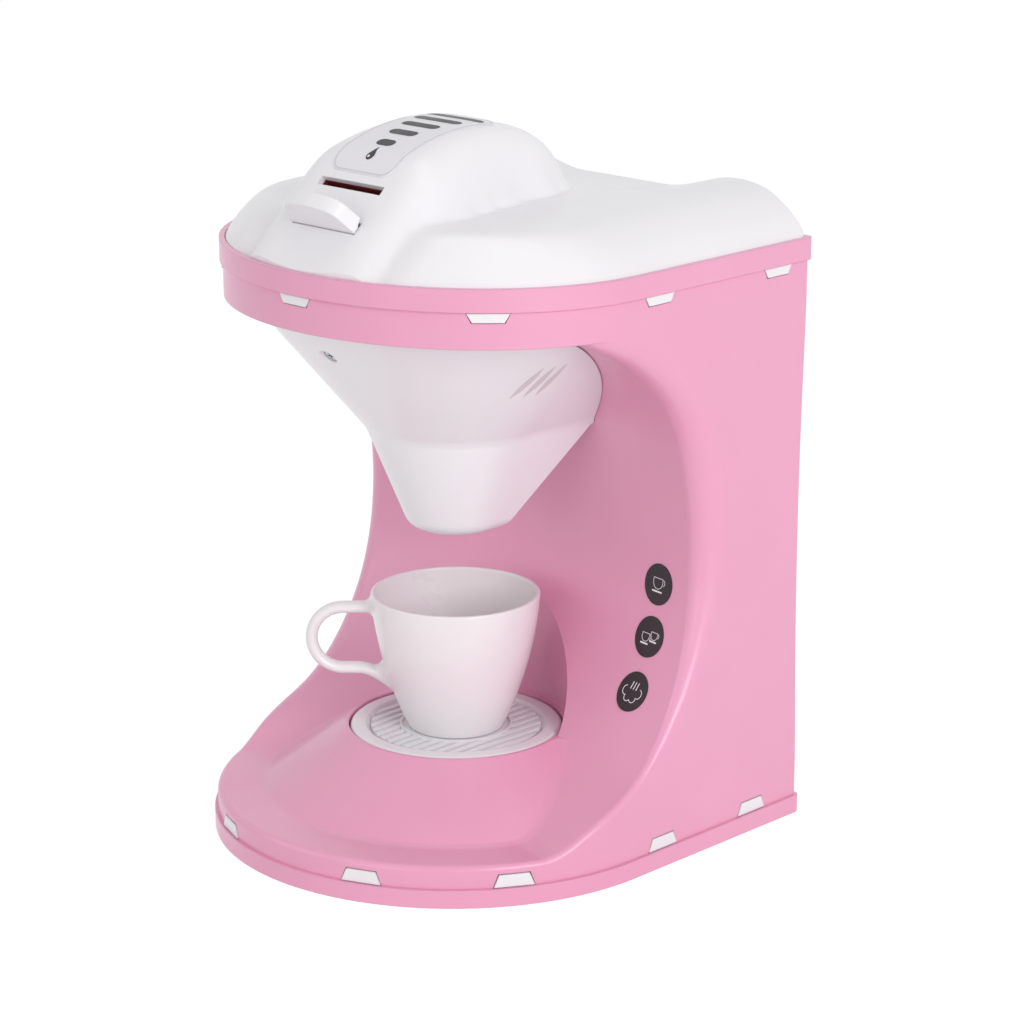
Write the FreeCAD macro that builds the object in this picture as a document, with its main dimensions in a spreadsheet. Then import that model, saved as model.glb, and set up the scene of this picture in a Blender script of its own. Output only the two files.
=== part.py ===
# Toy coffee maker: a pink moulded housing with a white lid, a white brewing hopper, a drip tray
# and a cup. Millimetres, +X to the right of somebody facing the front, +Y to the back, +Z up.
# The origin is on the table, under the middle of the outer box of the body.
import FreeCAD, Part
import math
import os
from FreeCAD import Placement, Rotation, Vector

os.makedirs("parts", exist_ok=True)
doc = FreeCAD.newDocument("toy_coffee_maker")
sheet = doc.addObject("Spreadsheet::Sheet", "sizes")

# Driving dimensions

DRIVING = [
    # body, seen from above: half disc or half ellipse in front of the brewing axis, straight sides behind
    ("rim_half", 94.3),            # half width of the base rim and the collar, and front radius of the rim
    ("rim_back", 97.0),            # brewing axis to the back of the rim and the collar
    ("rim_step", 1.3),             # how far the rim and the collar stand out from the housing
    ("head_front", 81.8),          # brewing axis to the front of the collar
    ("back_waist", 3.0),           # how far the back wall bows in half way up
    ("corner_round", 1.6),         # upright corners at the back
    ("wall", 2.4),                 # moulded wall of the housing
    ("face_wall", 4.5),            # wall behind the scooped face
    # heights of the body
    ("rim_height", 7.0),
    ("base_top", 15.8),            # flat band round the foot of the front
    ("ceiling", 208.0),            # underside of the head
    ("body_top", 221.5),
    ("collar_top", 230.0),
    # scooped face
    ("scoop_depth", 49.5),         # brewing axis to the deepest point of the face
    ("scoop_front", 28.0),         # brewing axis forward to where the face meets the foot
    ("scoop_plan_radius", 409.0),  # hollow of the face seen from above
    ("face_round", 8.0),           # round between the side walls and the face
    ("corner_rib", 6.0),           # solid corner behind that round
    ("foot_round", 2.2),           # round at the front edge of the foot
    # fan and seat of the drip tray
    ("fan_foot_radius", 75.0),
    ("fan_top_radius", 43.0),
    ("fan_top", 39.0),
    ("fan_blend", 6.0),
    ("tray_radius", 41.2),
    ("tray_gap", 0.6),
    ("tray_height", 5.6),
    ("tray_floor", 2.0),
    ("tray_rim", 8.0),
    ("rib_wide", 2.2),
    ("rib_pitch", 4.4),
    ("rib_low", 0.6),              # top of the ribs under the rim of the tray
    ("niche_gap", 2.0),            # niche of the cup round the tray
    ("niche_top", 120.0),
    # cup
    ("cup_foot_radius", 18.5),
    ("cup_rim_radius", 32.8),
    ("cup_height", 53.6),
    ("cup_wall", 1.8),
    ("cup_bulge", 2.4),            # how far the side swells past the straight line
    ("cup_seat_depth", 0.9),       # how deep the foot stands in its seat
    ("handle_reach", 58.0),
    ("handle_thick", 4.6),
    ("handle_wide", 6.4),
    ("handle_top", 47.2),          # middle of the upper strap above the foot
    ("handle_low", 22.6),          # middle of the lower strap above the foot
    ("handle_turn", 223.8),        # direction of the handle, degrees from +X
    ("handle_blend", 3.0),         # round where the handle grows out of the cup
    # hopper
    ("hopper_top_radius", 75.0),
    ("hopper_kink_radius", 34.0),
    ("hopper_kink", 159.0),
    ("hopper_low_radius", 17.4),
    ("hopper_bottom", 118.6),
    ("hopper_wall", 2.0),
    ("hopper_floor_round", 7.0),
    ("hopper_kink_round", 12.0),   # soft turn between the two cones
    ("hopper_back_slope", 39.6),   # slope of the underside behind the nozzle, degrees from level
    ("seat_gap", 0.3),
    # outlet
    ("nozzle_radius", 5.5),
    ("nozzle_bore", 4.2),
    ("nozzle_drop", 1.0),
    ("nozzle_length", 22.0),
    ("nozzle_flange", 6.4),
    ("flange_thick", 1.5),
    # funnel
    ("basin_radius", 62.0),
    ("basin_height", 11.0),
    ("throat_radius", 28.5),
    ("throat_drop", 29.0),
    ("funnel_wall", 2.0),
    ("throat_gap", 1.5),
    ("spout_radius", 7.4),
    ("spout_length", 6.0),
    # valve
    ("rod_radius", 1.5),
    ("running_gap", 0.06),
    ("seal_radius", 3.6),
    ("seal_thick", 3.4),
    ("spring_wire", 0.8),
    ("spring_radius", 3.4),
    ("spring_turns", 6.0),
    ("collar_thick", 1.5),
    ("rod_tip", 2.0),              # rod above its collar
    ("guide_height", 4.0),
    # lid
    ("lid_gap", 0.25),
    ("lid_wall", 2.4),
    ("collar_wall", 2.2),
    ("ledge_thick", 2.0),
    ("ledge_width", 3.4),
    ("lid_edge_rise", 6.8),
    ("lid_edge_length", 6.3),
    ("lid_slope", 0.52),
    ("lid_front_slope", 0.2),
    ("lid_plateau", 16.6),
    ("lid_trough", 5.9),
    ("dome_height", 45.2),
    ("dome_front_half", 38.7),
    ("dome_half", 26.4),
    ("dome_fall", 26.0),
    ("dome_back", 46.5),
    ("dome_bow", 0.0053),          # how fast the crown of the dome falls away to the front
    ("dome_square", 6.15),         # how square the dome is across; 2 would be a parabola
    ("dome_narrowing", 0.24),      # share by which the dome narrows to the back
    ("nose_dip", 12.0),            # hollow each side of the nose
    ("ridge_rise", 1.3),           # raised edge each side of the trough
    # lever in the lid
    ("lever_out", 65.0),           # brewing axis forward to the root of the paddle
    ("lever_root", 14.4),          # height of that root above the collar
    ("pivot_depth", 6.2),
    ("pin_radius", 1.5),
    ("hub_radius", 3.3),
    ("neck_thick", 3.0),
    ("paddle_half", 16.6),
    ("paddle_height", 13.6),
    ("paddle_thick", 6.2),
    ("paddle_top_half", 9.0),
    ("lever_press", 10.0),         # travel of the lever, degrees
    ("arm_wide", 7.0),
    ("arm_thick", 4.0),
    ("ear_thick", 2.5),
    # feed slot
    ("slot_out", 52.4),            # brewing axis forward to the slot
    ("slot_half", 16.3),
    ("slot_wide", 3.6),
    ("chute_depth", 9.0),
    ("chute_wall", 1.2),
    # labels
    ("label_thick", 0.3),
    ("label_half", 16.0),
    ("label_front", 48.5),
    ("label_back", 8.0),
    ("label_lift", 0.05),
    ("label_corner", 5.0),
    ("icon_radius", 8.0),
    ("icon_inset", 27.2),          # side of the rim to the middle of the icons
    ("icon_top", 99.7),
    ("icon_pitch", 19.8),
    # snap tabs
    ("lid_tab_across", 70.0),      # snap tabs of the lid: round the front, then along the side walls
    ("lid_tab_near", 10.0),
    ("lid_tab_far", 76.0),
    ("base_tab_across", 36.0),     # snap tabs of the base: round the front, then along the side walls
    ("base_tab_corner", 79.0),
    ("base_tab_near", 15.5),
    ("base_tab_far", 67.0),
    ("tab_wide", 15.5),
    ("tab_narrow", 11.5),
    ("lid_tab_height", 3.4),
    ("base_tab_height", 4.8),
    ("tab_proud", 0.3),
    ("tab_gap", 0.3),
    ("leg_thick", 2.2),
    # bottom
    ("plate_thick", 2.4),
    ("pad_height", 2.0),
    ("pad_radius", 7.0),
    ("pad_side", 32.3),            # side of the rim to the middle of the rubber feet
    ("pad_front", 44.7),           # front of the rim to the middle of the front pair
    ("pad_back", 47.4),            # back of the rim to the middle of the rear pair
    # screw
    ("screw_head_radius", 2.6),
    ("screw_radius", 1.4),
    ("screw_length", 13.0),
    ("screw_dimple", 4.8),
    ("screw_level", 12.7),         # below the underside of the head
]

for row, (name, value) in enumerate(DRIVING, start=1):
    cell = "A%d" % row
    sheet.set(cell, name)
    sheet.set("B%d" % row, "%g" % value)
    sheet.setAlias("B%d" % row, name)
doc.recompute()


def mm(name):
    """The value of a driving dimension, read from the sheet."""
    return float(sheet.get(name))


# Places worked out from the driving dimensions

axis_y = (mm("rim_half") - mm("rim_back")) / 2.0
body_half = mm("rim_half") - mm("rim_step")
body_back = mm("rim_back") - mm("rim_step")
head_front = mm("head_front") - mm("rim_step")
tray_top = mm("fan_top") - 0.1
tray_bottom = tray_top - mm("tray_height")
cup_foot = tray_top - mm("cup_seat_depth") + mm("seat_gap")
inner_half = mm("rim_half") - mm("collar_wall")
lid_half = inner_half - mm("lid_gap")
lid_front = mm("head_front") - mm("collar_wall") - mm("lid_gap")
lid_back = mm("rim_back") - mm("collar_wall") - mm("lid_gap")
lid_bottom = mm("body_top") + mm("ledge_thick")
nozzle_bottom = mm("hopper_bottom") - mm("nozzle_drop")
nozzle_top = nozzle_bottom + mm("nozzle_length")
basin_floor = mm("ceiling") + mm("face_wall")
screw_seat = mm("hopper_wall") + 0.4
funnel_seat = nozzle_top + mm("seat_gap")
icon_x = mm("rim_half") - mm("icon_inset")
FAR = 400.0


def feature(label, shape, placement=None):
    """A sub-part whose shape comes from Part's functions."""
    item = doc.addObject("Part::Feature", label)
    item.Shape = shape
    item.Placement = placement or Placement()
    item.Label = label
    nodes.append(item)
    return item


nodes = []


def cylinder(radius, height, base, axis=Vector(0, 0, 1)):
    return Part.makeCylinder(radius, height, base, axis)


def box(low, high):
    size = high - low
    return Part.makeBox(size.x, size.y, size.z, low)


# Outlines seen from above

def front_curve(half, front, level):
    """Half circle or half ellipse round the front, from the right side to the left side."""
    curve = Part.ArcOfCircle(Part.Circle(), math.pi, 2.0 * math.pi).toBSpline()
    for index, pole in enumerate(curve.getPoles(), start=1):
        curve.setPole(index, Vector(pole.x * half, axis_y + pole.y * front, level))
    return curve.toShape()


def outline_block(half, front, back, corner, low, high):
    """Upright block with a round front, straight sides and small corners at the back."""
    left = Vector(-half, axis_y, low)
    right = Vector(half, axis_y, low)
    back_y = axis_y + back
    turn = corner * (1.0 - math.sqrt(0.5))
    edges = [
        front_curve(half, front, low),
        Part.makeLine(right, Vector(half, back_y - corner, low)),
        Part.Arc(Vector(half, back_y - corner, low), Vector(half - turn, back_y - turn, low),
                 Vector(half - corner, back_y, low)).toShape(),
        Part.makeLine(Vector(half - corner, back_y, low), Vector(corner - half, back_y, low)),
        Part.Arc(Vector(corner - half, back_y, low), Vector(turn - half, back_y - turn, low),
                 Vector(-half, back_y - corner, low)).toShape(),
        Part.makeLine(Vector(-half, back_y - corner, low), left),
    ]
    face = Part.Face(Part.Wire(Part.__sortEdges__(edges)))
    return face.extrude(Vector(0, 0, high - low))


# Housing

def body_block(inset, low, high):
    """The closed outer form of the housing, drawn in by inset, with its waisted back."""
    middle = (mm("base_top") + mm("ceiling")) / 2.0
    foot = outline_block(body_half - inset, body_half - inset, body_back - inset,
                         mm("corner_round"), low, middle)
    head = outline_block(body_half - inset, head_front - inset, body_back - inset,
                         mm("corner_round"), middle, high)
    back = axis_y + body_back - inset
    waist = Part.Arc(Vector(0, back, mm("rim_height")), Vector(0, back - mm("back_waist"), middle),
                     Vector(0, back, mm("body_top"))).toShape()
    behind = Part.makePolygon([Vector(0, back, mm("body_top")), Vector(0, back + 20, mm("body_top")),
                               Vector(0, back + 20, mm("rim_height")), Vector(0, back, mm("rim_height"))])
    hollow = Part.Face(Part.Wire([waist] + behind.Edges)).extrude(Vector(2 * FAR, 0, 0))
    hollow.translate(Vector(-FAR, 0, 0))
    return foot.fuse(head).cut(hollow).removeSplitter()


def scoop(grow):
    """What is scooped out of the front, from the foot to the underside of the head."""
    floor = mm("base_top") - grow
    top = mm("ceiling") + grow
    rise = top - floor
    deep = axis_y + mm("scoop_depth") + grow
    front = axis_y - mm("scoop_front")
    # share of the depth and of the height at each turn of the face, from the foot up
    turns = [(0.0, 0.0), (0.22, 0.036), (0.53, 0.105), (0.74, 0.195), (0.89, 0.305),
             (0.98, 0.44), (1.0, 0.565), (0.95, 0.70), (0.80, 0.83), (0.52, 0.93), (0.19, 1.0)]
    points = [Vector(0, front + share * (deep - front), floor + part * rise) for share, part in turns]
    face = Part.BSplineCurve()
    face.interpolate(Points=points, InitialTangent=Vector(0, 1, 0.12), FinalTangent=Vector(0, -1, 0.45))
    start = Vector(0, axis_y - 120.0, floor)
    end = Vector(0, axis_y - 120.0, top)
    edges = [Part.makeLine(start, points[0]), face.toShape(), Part.makeLine(points[-1], end),
             Part.makeLine(end, start)]
    section = Part.Face(Part.Wire(edges))
    swing = 28.0
    middle = Vector(0, deep - mm("scoop_plan_radius"), 0)
    section.rotate(middle, Vector(0, 0, 1), -swing)
    return section.revolve(middle, Vector(0, 0, 1), 2 * swing)


def fan(drop):
    """The cone that spreads from the drip tray down to the foot."""
    low = mm("rim_height") - 1.0 if drop else mm("base_top") - 1.0
    slope = (mm("fan_foot_radius") - mm("fan_top_radius")) / (mm("fan_top") - mm("base_top"))
    top = tray_bottom - mm("wall") if drop else mm("fan_top")
    low_radius = mm("fan_foot_radius") + slope * (mm("base_top") - drop - low)
    top_radius = low_radius - slope * (top - low)
    return Part.makeCone(low_radius, top_radius, top - low, Vector(0, axis_y, low))


def tab_places(front, spots):
    """Middle and outward direction of each snap tab round an outline."""
    places = []
    for across, along in spots:
        for side in ((1, -1) if across else (1,)):
            if along is None:
                share = across / body_half
                y = axis_y - front * math.sqrt(1.0 - share * share)
                normal = Vector(side * across / body_half ** 2, (y - axis_y) / front ** 2, 0)
                places.append((Vector(side * across, y, 0), normal.normalize()))
            else:
                places.append((Vector(side * body_half, along, 0), Vector(side, 0, 0)))
    return places


lid_tabs = tab_places(head_front, [(0.0, None), (mm("lid_tab_across"), None),
                                   (body_half, mm("lid_tab_near")), (body_half, mm("lid_tab_far"))])
base_tabs = tab_places(body_half, [(mm("base_tab_across"), None), (mm("base_tab_corner"), None),
                                   (body_half, mm("base_tab_near")), (body_half, mm("base_tab_far"))])


def tab_prism(place, outward, low, high, low_wide, high_wide, inner, outer):
    """A four-sided block through the wall: inner and outer are measured out from the wall face."""
    along = Vector(-outward.y, outward.x, 0)
    corners = [(-low_wide / 2, low), (low_wide / 2, low), (high_wide / 2, high), (-high_wide / 2, high)]
    points = [place + outward * inner + along * offset + Vector(0, 0, level) for offset, level in corners]
    face = Part.Face(Part.makePolygon(points + points[:1]))
    return face.extrude(outward * (outer - inner))


def lid_tab(place, outward, gap, inner, outer):
    high = mm("body_top") - mm("tab_gap") + gap
    low = high - mm("lid_tab_height") - 2 * gap
    return tab_prism(place, outward, low, high, mm("tab_narrow") + 2 * gap, mm("tab_wide") + 2 * gap,
                     inner, outer)


def base_tab(place, outward, gap, inner, outer):
    low = mm("rim_height") + mm("tab_gap") - gap
    high = low + mm("base_tab_height") + 2 * gap
    return tab_prism(place, outward, low, high, mm("tab_wide") + 2 * gap, mm("tab_narrow") + 2 * gap,
                     inner, outer)


def rounded(name, shape, radii):
    """Rounds edges; radii gives the radius for an edge, or nothing, from its middle and its box."""
    base = doc.addObject("Part::Feature", name + "_sharp")
    base.Shape = shape
    item = doc.addObject("Part::Fillet", name)
    item.Base = base
    edges = []
    for number, edge in enumerate(shape.Edges, start=1):
        middle = edge.valueAt((edge.FirstParameter + edge.LastParameter) / 2.0)
        radius = radii(middle, edge.BoundBox)
        if radius:
            edges.append((number, radius, radius))
    item.Edges = edges
    doc.recompute()
    return item.Shape.copy()


def valley_radius(middle, bounds):
    """The soft valleys between the fan and the scooped face."""
    inside = abs(middle.x) < mm("fan_foot_radius") - 5.0
    on_foot = bounds.ZMin > mm("base_top") - 0.1 and bounds.ZMax < mm("fan_top") + 0.1
    sloping = bounds.ZLength > 3.0
    foot_ring = bounds.ZLength < 0.1 and middle.z < mm("base_top") + 0.1
    wide = bounds.XMax < mm("fan_foot_radius") and bounds.XMin > -mm("fan_foot_radius")
    if inside and on_foot and wide and (sloping or foot_ring):
        return mm("fan_blend")
    return None


def face_radius(middle, bounds):
    """The round where the scooped face meets the side walls and the front of the foot."""
    on_side = abs(middle.x) > body_half * 0.9
    at_foot = abs(bounds.ZMin - mm("base_top")) < 0.1
    if at_foot and bounds.XLength > 1.8 * body_half * 0.9 and bounds.ZLength < 0.1:
        return mm("foot_round")
    if on_side and at_foot and 1.0 < bounds.ZLength < 60.0:
        return mm("foot_round")
    if abs(middle.x) > body_half - 0.1 and middle.y > axis_y and bounds.YLength > 20.0:
        if mm("base_top") + 1.0 < bounds.ZMin and bounds.ZMax < mm("ceiling"):
            return mm("face_round")
    if on_side and abs(bounds.ZMax - mm("ceiling")) < 0.1 and 1.0 < bounds.ZLength < 60.0:
        return mm("face_round") / 2.0
    return None


def screw_axis():
    """Point on the front of the hopper where its screw sits, and the way that the screw points."""
    level = mm("ceiling") - mm("screw_level")
    spread = (mm("hopper_top_radius") - mm("hopper_kink_radius")) / (mm("ceiling") - mm("hopper_kink"))
    radius = mm("hopper_kink_radius") + spread * (level - mm("hopper_kink"))
    inward = Vector(0, 1, spread).normalize()
    return Vector(0, axis_y - radius, level), inward


def corner_fill():
    """Solid stuff behind the round where the scooped face meets the side walls."""
    near = body_half - mm("wall") - mm("corner_rib")
    sides = [box(Vector(side * near if side > 0 else -FAR, -FAR, 0),
                 Vector(FAR if side > 0 else -near, FAR, FAR)) for side in (1, -1)]
    return scoop(mm("face_wall") + mm("face_round")).common(sides[0].fuse(sides[1]))


def make_housing():
    outer = body_block(0.0, mm("rim_height"), mm("body_top"))
    outer = outer.cut(scoop(0.0))
    outer = outer.fuse(fan(0.0)).removeSplitter()
    outer = rounded("fan_valleys", outer, valley_radius)
    outer = rounded("face_rounds", outer, face_radius)
    cavity = body_block(mm("wall"), mm("rim_height") - 1.0, mm("body_top") + 1.0)
    cavity = cavity.cut([scoop(mm("face_wall")), corner_fill()])
    niche_radius = mm("tray_radius") + mm("niche_gap")
    niche = cylinder(niche_radius, mm("niche_top") - tray_top, Vector(0, axis_y, tray_top))
    well = cylinder(mm("tray_radius") + mm("tray_gap"), FAR / 8.0, Vector(0, axis_y, tray_bottom))
    jacket = cylinder(niche_radius + mm("wall"), mm("niche_top") - tray_bottom + 2 * mm("wall"),
                      Vector(0, axis_y, tray_bottom - mm("wall")))
    cavity = cavity.cut(jacket).fuse(fan(mm("face_wall")))
    throat = cylinder(mm("throat_radius") + mm("throat_gap"), FAR / 4.0,
                      Vector(0, axis_y, mm("hopper_kink") + 6.0))
    shell = outer.cut([niche, well, cavity, throat])
    point, inward = screw_axis()
    boss_start = point + inward * (2.0 * mm("hopper_wall") + mm("seat_gap"))
    boss = cylinder(2.4 * mm("screw_radius"), FAR / 8.0, boss_start, inward)
    boss = boss.common(box(Vector(-20, -FAR, 0), Vector(20, FAR, mm("ceiling") + mm("wall") / 2.0)))
    pilot = cylinder(mm("screw_radius") + mm("running_gap"), screw_seat + mm("screw_length") + 1.0,
                     point, inward)
    shell = shell.fuse(boss).cut(pilot)
    windows = [lid_tab(place, outward, mm("tab_gap"), -10.0, 10.0) for place, outward in lid_tabs]
    windows += [base_tab(place, outward, mm("tab_gap"), -10.0, 10.0) for place, outward in base_tabs]
    return shell.cut(windows)


# Collar, base rim and bottom plate

def make_collar():
    """Ring round the lid, with a ledge inside that carries it."""
    half, front, back = mm("rim_half"), mm("head_front"), mm("rim_back")
    side = mm("collar_wall")
    ring = outline_block(half, front, back, mm("corner_round") + mm("rim_step"),
                         mm("body_top"), mm("collar_top"))
    bore = outline_block(half - side, front - side, back - side, mm("corner_round"),
                         lid_bottom, mm("collar_top") + 1.0)
    deep = side + mm("ledge_width")
    hole = outline_block(half - deep, front - deep, back - deep, mm("corner_round"),
                         mm("body_top") - 1.0, lid_bottom + 1.0)
    slots = [leg_block(place, outward, mm("tab_gap"), mm("body_top") - 5.0, lid_bottom + 5.0)
             for place, outward in lid_tabs]
    return ring.cut([bore, hole] + slots)


def leg_block(place, outward, gap, low, high):
    """The upright leg of a snap tab, just inside the wall of the housing."""
    outer = -mm("wall") - mm("tab_gap") + gap
    inner = outer - mm("leg_thick") - 2 * gap
    return tab_prism(place, outward, low, high, mm("tab_narrow") + 2 * gap, mm("tab_narrow") + 2 * gap,
                     inner, outer)


def make_base_rim():
    """Ring under the housing, with a ledge inside between the housing and the bottom plate."""
    half, back = mm("rim_half"), mm("rim_back")
    side = mm("collar_wall")
    corner = mm("corner_round")
    ledge = mm("rim_height") - mm("ledge_thick")
    ring = outline_block(half, half, back, corner + mm("rim_step"), 0.0, mm("rim_height"))
    recess = outline_block(half - side, half - side, back - side, corner, -1.0, ledge)
    deep = side + mm("ledge_width")
    hole = outline_block(half - deep, half - deep, back - deep, corner, -1.0, mm("rim_height") + 1.0)
    slots = [leg_block(place, outward, mm("tab_gap"), ledge - 1.0, mm("rim_height") + 5.0)
             for place, outward in base_tabs]
    return ring.cut([recess, hole] + slots)


def make_bottom_plate():
    """White floor plate whose snap tabs show above the rim."""
    inset = mm("collar_wall") + mm("lid_gap")
    half, back = mm("rim_half") - inset, mm("rim_back") - inset
    top = mm("rim_height") - mm("ledge_thick")
    low = top - mm("plate_thick")
    plate = outline_block(half, half, back, mm("corner_round"), low, top)
    tabs = []
    for place, outward in base_tabs:
        tabs.append(leg_block(place, outward, 0.0, low, mm("rim_height") + mm("base_tab_height")))
        tabs.append(base_tab(place, outward, 0.0, -mm("wall") - mm("leg_thick"), mm("tab_proud")))
    return plate.fuse(tabs).removeSplitter()


# Lid

def smooth_min(first, second, blend):
    return 0.5 * (first + second - math.hypot(first - second, blend))


def smooth_max(first, second, blend):
    return 0.5 * (first + second + math.hypot(first - second, blend))


def smooth_step(start, end, value):
    share = min(max((value - start) / (end - start), 0.0), 1.0)
    return share * share * (3.0 - 2.0 * share)


def lid_height(x, y):
    """Height of the lid: slopes that rise from the rim, a plateau with a trough, and the dome."""
    across = abs(x)
    along = y - axis_y
    if along < 0.0:
        reach = math.hypot(across / lid_half, along / lid_front)
        inward = (1.0 - reach) * math.hypot(across, along) / reach
    else:
        inward = lid_half - across
    rise = mm_lid["edge"] * inward / mm_lid["edge_length"]
    if inward > 0.0:
        rise = mm_lid["edge"] * (1.0 - math.exp(-inward / mm_lid["edge_length"]))
    front = 1.0 - smooth_step(-44.0, 6.0, along)
    beside_nose = (1.0 - smooth_step(-66.0, -40.0, along)) * (1.0 - smooth_step(18.0, 48.0, across))
    shoulder = rise + (mm_lid["slope"] + mm_lid["front_slope"] * front) * inward
    shoulder -= mm_lid["dip"] * beside_nose
    ridge = mm_lid["ridge"] * math.exp(-((across - 60.0) / 12.0) ** 2) * smooth_step(-10.0, 30.0, along)
    trough = smooth_step(41.0, 81.0, along) * (1.0 - smooth_step(22.0, 54.0, across))
    low = smooth_min(shoulder, mm_lid["plateau"] - mm_lid["trough"] * trough + ridge, 2.5)
    ramp = mm_lid["root"] + along + mm_lid["out"]
    past = along + 3.65
    if past < 0.0:
        crown = mm_lid["dome"] - mm_lid["bow"] * past * past
    elif past < mm_lid["back"]:
        bow = math.sqrt(1.0 - (past / mm_lid["back"]) ** 2)
        crown = mm_lid["plateau"] + (mm_lid["dome"] - mm_lid["plateau"]) * bow
    else:
        crown = mm_lid["plateau"] - 3.0 * (past - mm_lid["back"])
    middle = smooth_min(ramp, crown, 2.0)
    widen = smooth_step(-58.0, 16.0, along)
    half = mm_lid["front_half"] + (mm_lid["half"] - mm_lid["front_half"]) * widen
    half = half * (1.0 - mm_lid["narrowing"] * smooth_step(20.0, 60.0, along))
    fall = mm_lid["fall"] * min((across / half) ** mm_lid["square"], 6.0)
    return mm("collar_top") + smooth_max(low, middle - fall, 4.5)


mm_lid = {
    "edge": mm("lid_edge_rise"), "edge_length": mm("lid_edge_length"), "slope": mm("lid_slope"),
    "front_slope": mm("lid_front_slope"), "plateau": mm("lid_plateau"), "trough": mm("lid_trough"),
    "dome": mm("dome_height"), "back": mm("dome_back"), "front_half": mm("dome_front_half"),
    "half": mm("dome_half"), "fall": mm("dome_fall"), "root": mm("lever_root"), "out": mm("lever_out"),
    "dip": mm("nose_dip"), "ridge": mm("ridge_rise"), "bow": mm("dome_bow"),
    "square": mm("dome_square"), "narrowing": mm("dome_narrowing"),
}


def lid_surface(depth):
    """The top of the lid, or the same form moved in by the wall thickness."""
    step = 3.0
    columns = int(math.ceil((lid_half + 2.0) / step))
    front_rows = int(math.ceil((lid_front + 2.0) / step))
    back_rows = int(math.ceil((lid_back + 2.0) / step))
    grid = []
    for column in range(-columns, columns + 1):
        line = []
        for row in range(-front_rows, back_rows + 1):
            x = column * step
            y = axis_y + (row + 0.5) * step
            z = lid_height(x, y)
            slope_x = (lid_height(x + 0.5, y) - lid_height(x - 0.5, y))
            slope_y = (lid_height(x, y + 0.5) - lid_height(x, y - 0.5))
            normal = Vector(-slope_x, -slope_y, 1.0).normalize()
            line.append(Vector(x, y, z) - normal * depth)
        grid.append(line)
    surface = Part.BSplineSurface()
    surface.interpolate(grid)
    return surface.toShape()


def slope_frame(out):
    """Turns things drawn flat so that they stand on the sloping nose of the lid."""
    y = axis_y - out
    slope = lid_height(0.0, y + 1.0) - lid_height(0.0, y - 1.0)
    place = Vector(0, y, lid_height(0.0, y))
    return Placement(place, Rotation(Vector(1, 0, 0), math.degrees(math.atan2(slope, 2.0))))


def sloped_box(frame, half, low, high):
    """Box drawn in the slope's own frame: Y runs up the slope and Z stands out of it."""
    block = box(Vector(-half, low[0], low[1]), Vector(half, high[0], high[1]))
    block.Placement = frame.multiply(block.Placement)
    return block


root_frame = slope_frame(mm("lever_out"))
slot_frame = slope_frame(mm("slot_out"))
pivot = root_frame.multVec(Vector(0, 0, -mm("pivot_depth")))

# Heights on the valve rod, which hangs between the lever's arm and the nozzle

guide_top = basin_floor + mm("guide_height")
rod_top = pivot.z - mm("arm_thick") / 2.0 - mm("seat_gap")
rod_collar = rod_top - mm("rod_tip") - mm("collar_thick")
rod_bottom = nozzle_top - mm("seal_thick") - mm("seat_gap")


def make_lid():
    skin = lid_surface(0.0).extrude(Vector(0, 0, -FAR / 5.0))
    skin = skin.common(outline_block(lid_half, lid_front, lid_back, mm("corner_round"),
                                     lid_bottom, FAR))
    wall = mm("lid_wall")
    room = lid_surface(wall).extrude(Vector(0, 0, -FAR / 5.0))
    room = room.common(outline_block(lid_half - wall, lid_front - wall, lid_back - wall,
                                     mm("corner_round") / 2.0, lid_bottom - 1.0, FAR))
    lid = skin.cut(room)
    extras = []
    for place, outward in lid_tabs:
        extras.append(leg_block(place, outward, 0.0, mm("body_top") - mm("lid_tab_height"),
                                lid_bottom + wall))
        extras.append(lid_tab(place, outward, 0.0, -mm("wall") - mm("leg_thick"), mm("tab_proud")))
    ear_inner = mm("paddle_half") + mm("seat_gap")
    for side in (1, -1):
        ear = Part.makeBox(mm("ear_thick"), 2.6 * mm("hub_radius"), FAR / 10.0)
        start = ear_inner if side > 0 else -ear_inner - mm("ear_thick")
        ear.translate(Vector(start, pivot.y - 1.3 * mm("hub_radius"), pivot.z - 1.4 * mm("hub_radius")))
        extras.append(ear.common(skin))
    lid = lid.fuse(extras)
    pin_hole = cylinder(mm("pin_radius") + mm("running_gap"), FAR, Vector(-FAR / 2, pivot.y, pivot.z),
                        Vector(1, 0, 0))
    inside = box(Vector(-FAR, -FAR, 0), Vector(FAR, FAR, FAR)).common(
        box(Vector(-ear_inner - mm("ear_thick") - 1, pivot.y - 5, pivot.z - 5),
            Vector(ear_inner + mm("ear_thick") + 1, pivot.y + 5, pivot.z + 5)))
    swing = mm("pivot_depth") * math.tan(math.radians(mm("lever_press")))
    half_neck = mm("neck_thick") / 2.0
    lever_slot = sloped_box(root_frame, mm("paddle_half") - 0.6 + mm("seat_gap"),
                            (-half_neck - mm("seat_gap"), -wall * 1.7),
                            (half_neck + swing + 2 * mm("seat_gap"), FAR / 20.0))
    feed_slot = sloped_box(slot_frame, mm("slot_half"), (-mm("slot_wide") / 2, -FAR / 40.0),
                           (mm("slot_wide") / 2, FAR / 20.0))
    return lid.cut([pin_hole.common(inside), lever_slot, feed_slot])


def make_chute():
    """Dark red channel under the feed slot."""
    half, wide, side = mm("slot_half"), mm("slot_wide") / 2, mm("chute_wall")
    low = -mm("chute_depth") - mm("lid_wall")
    top = -mm("lid_wall") - mm("seat_gap")
    outer = sloped_box(slot_frame, half + side, (-wide - side, low), (wide + side, top))
    inner = sloped_box(slot_frame, half, (-wide, low - 1.0), (wide, top + 1.0))
    return outer.cut(inner)


# Lever, drawn in the slope's frame and put in place by it

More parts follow.
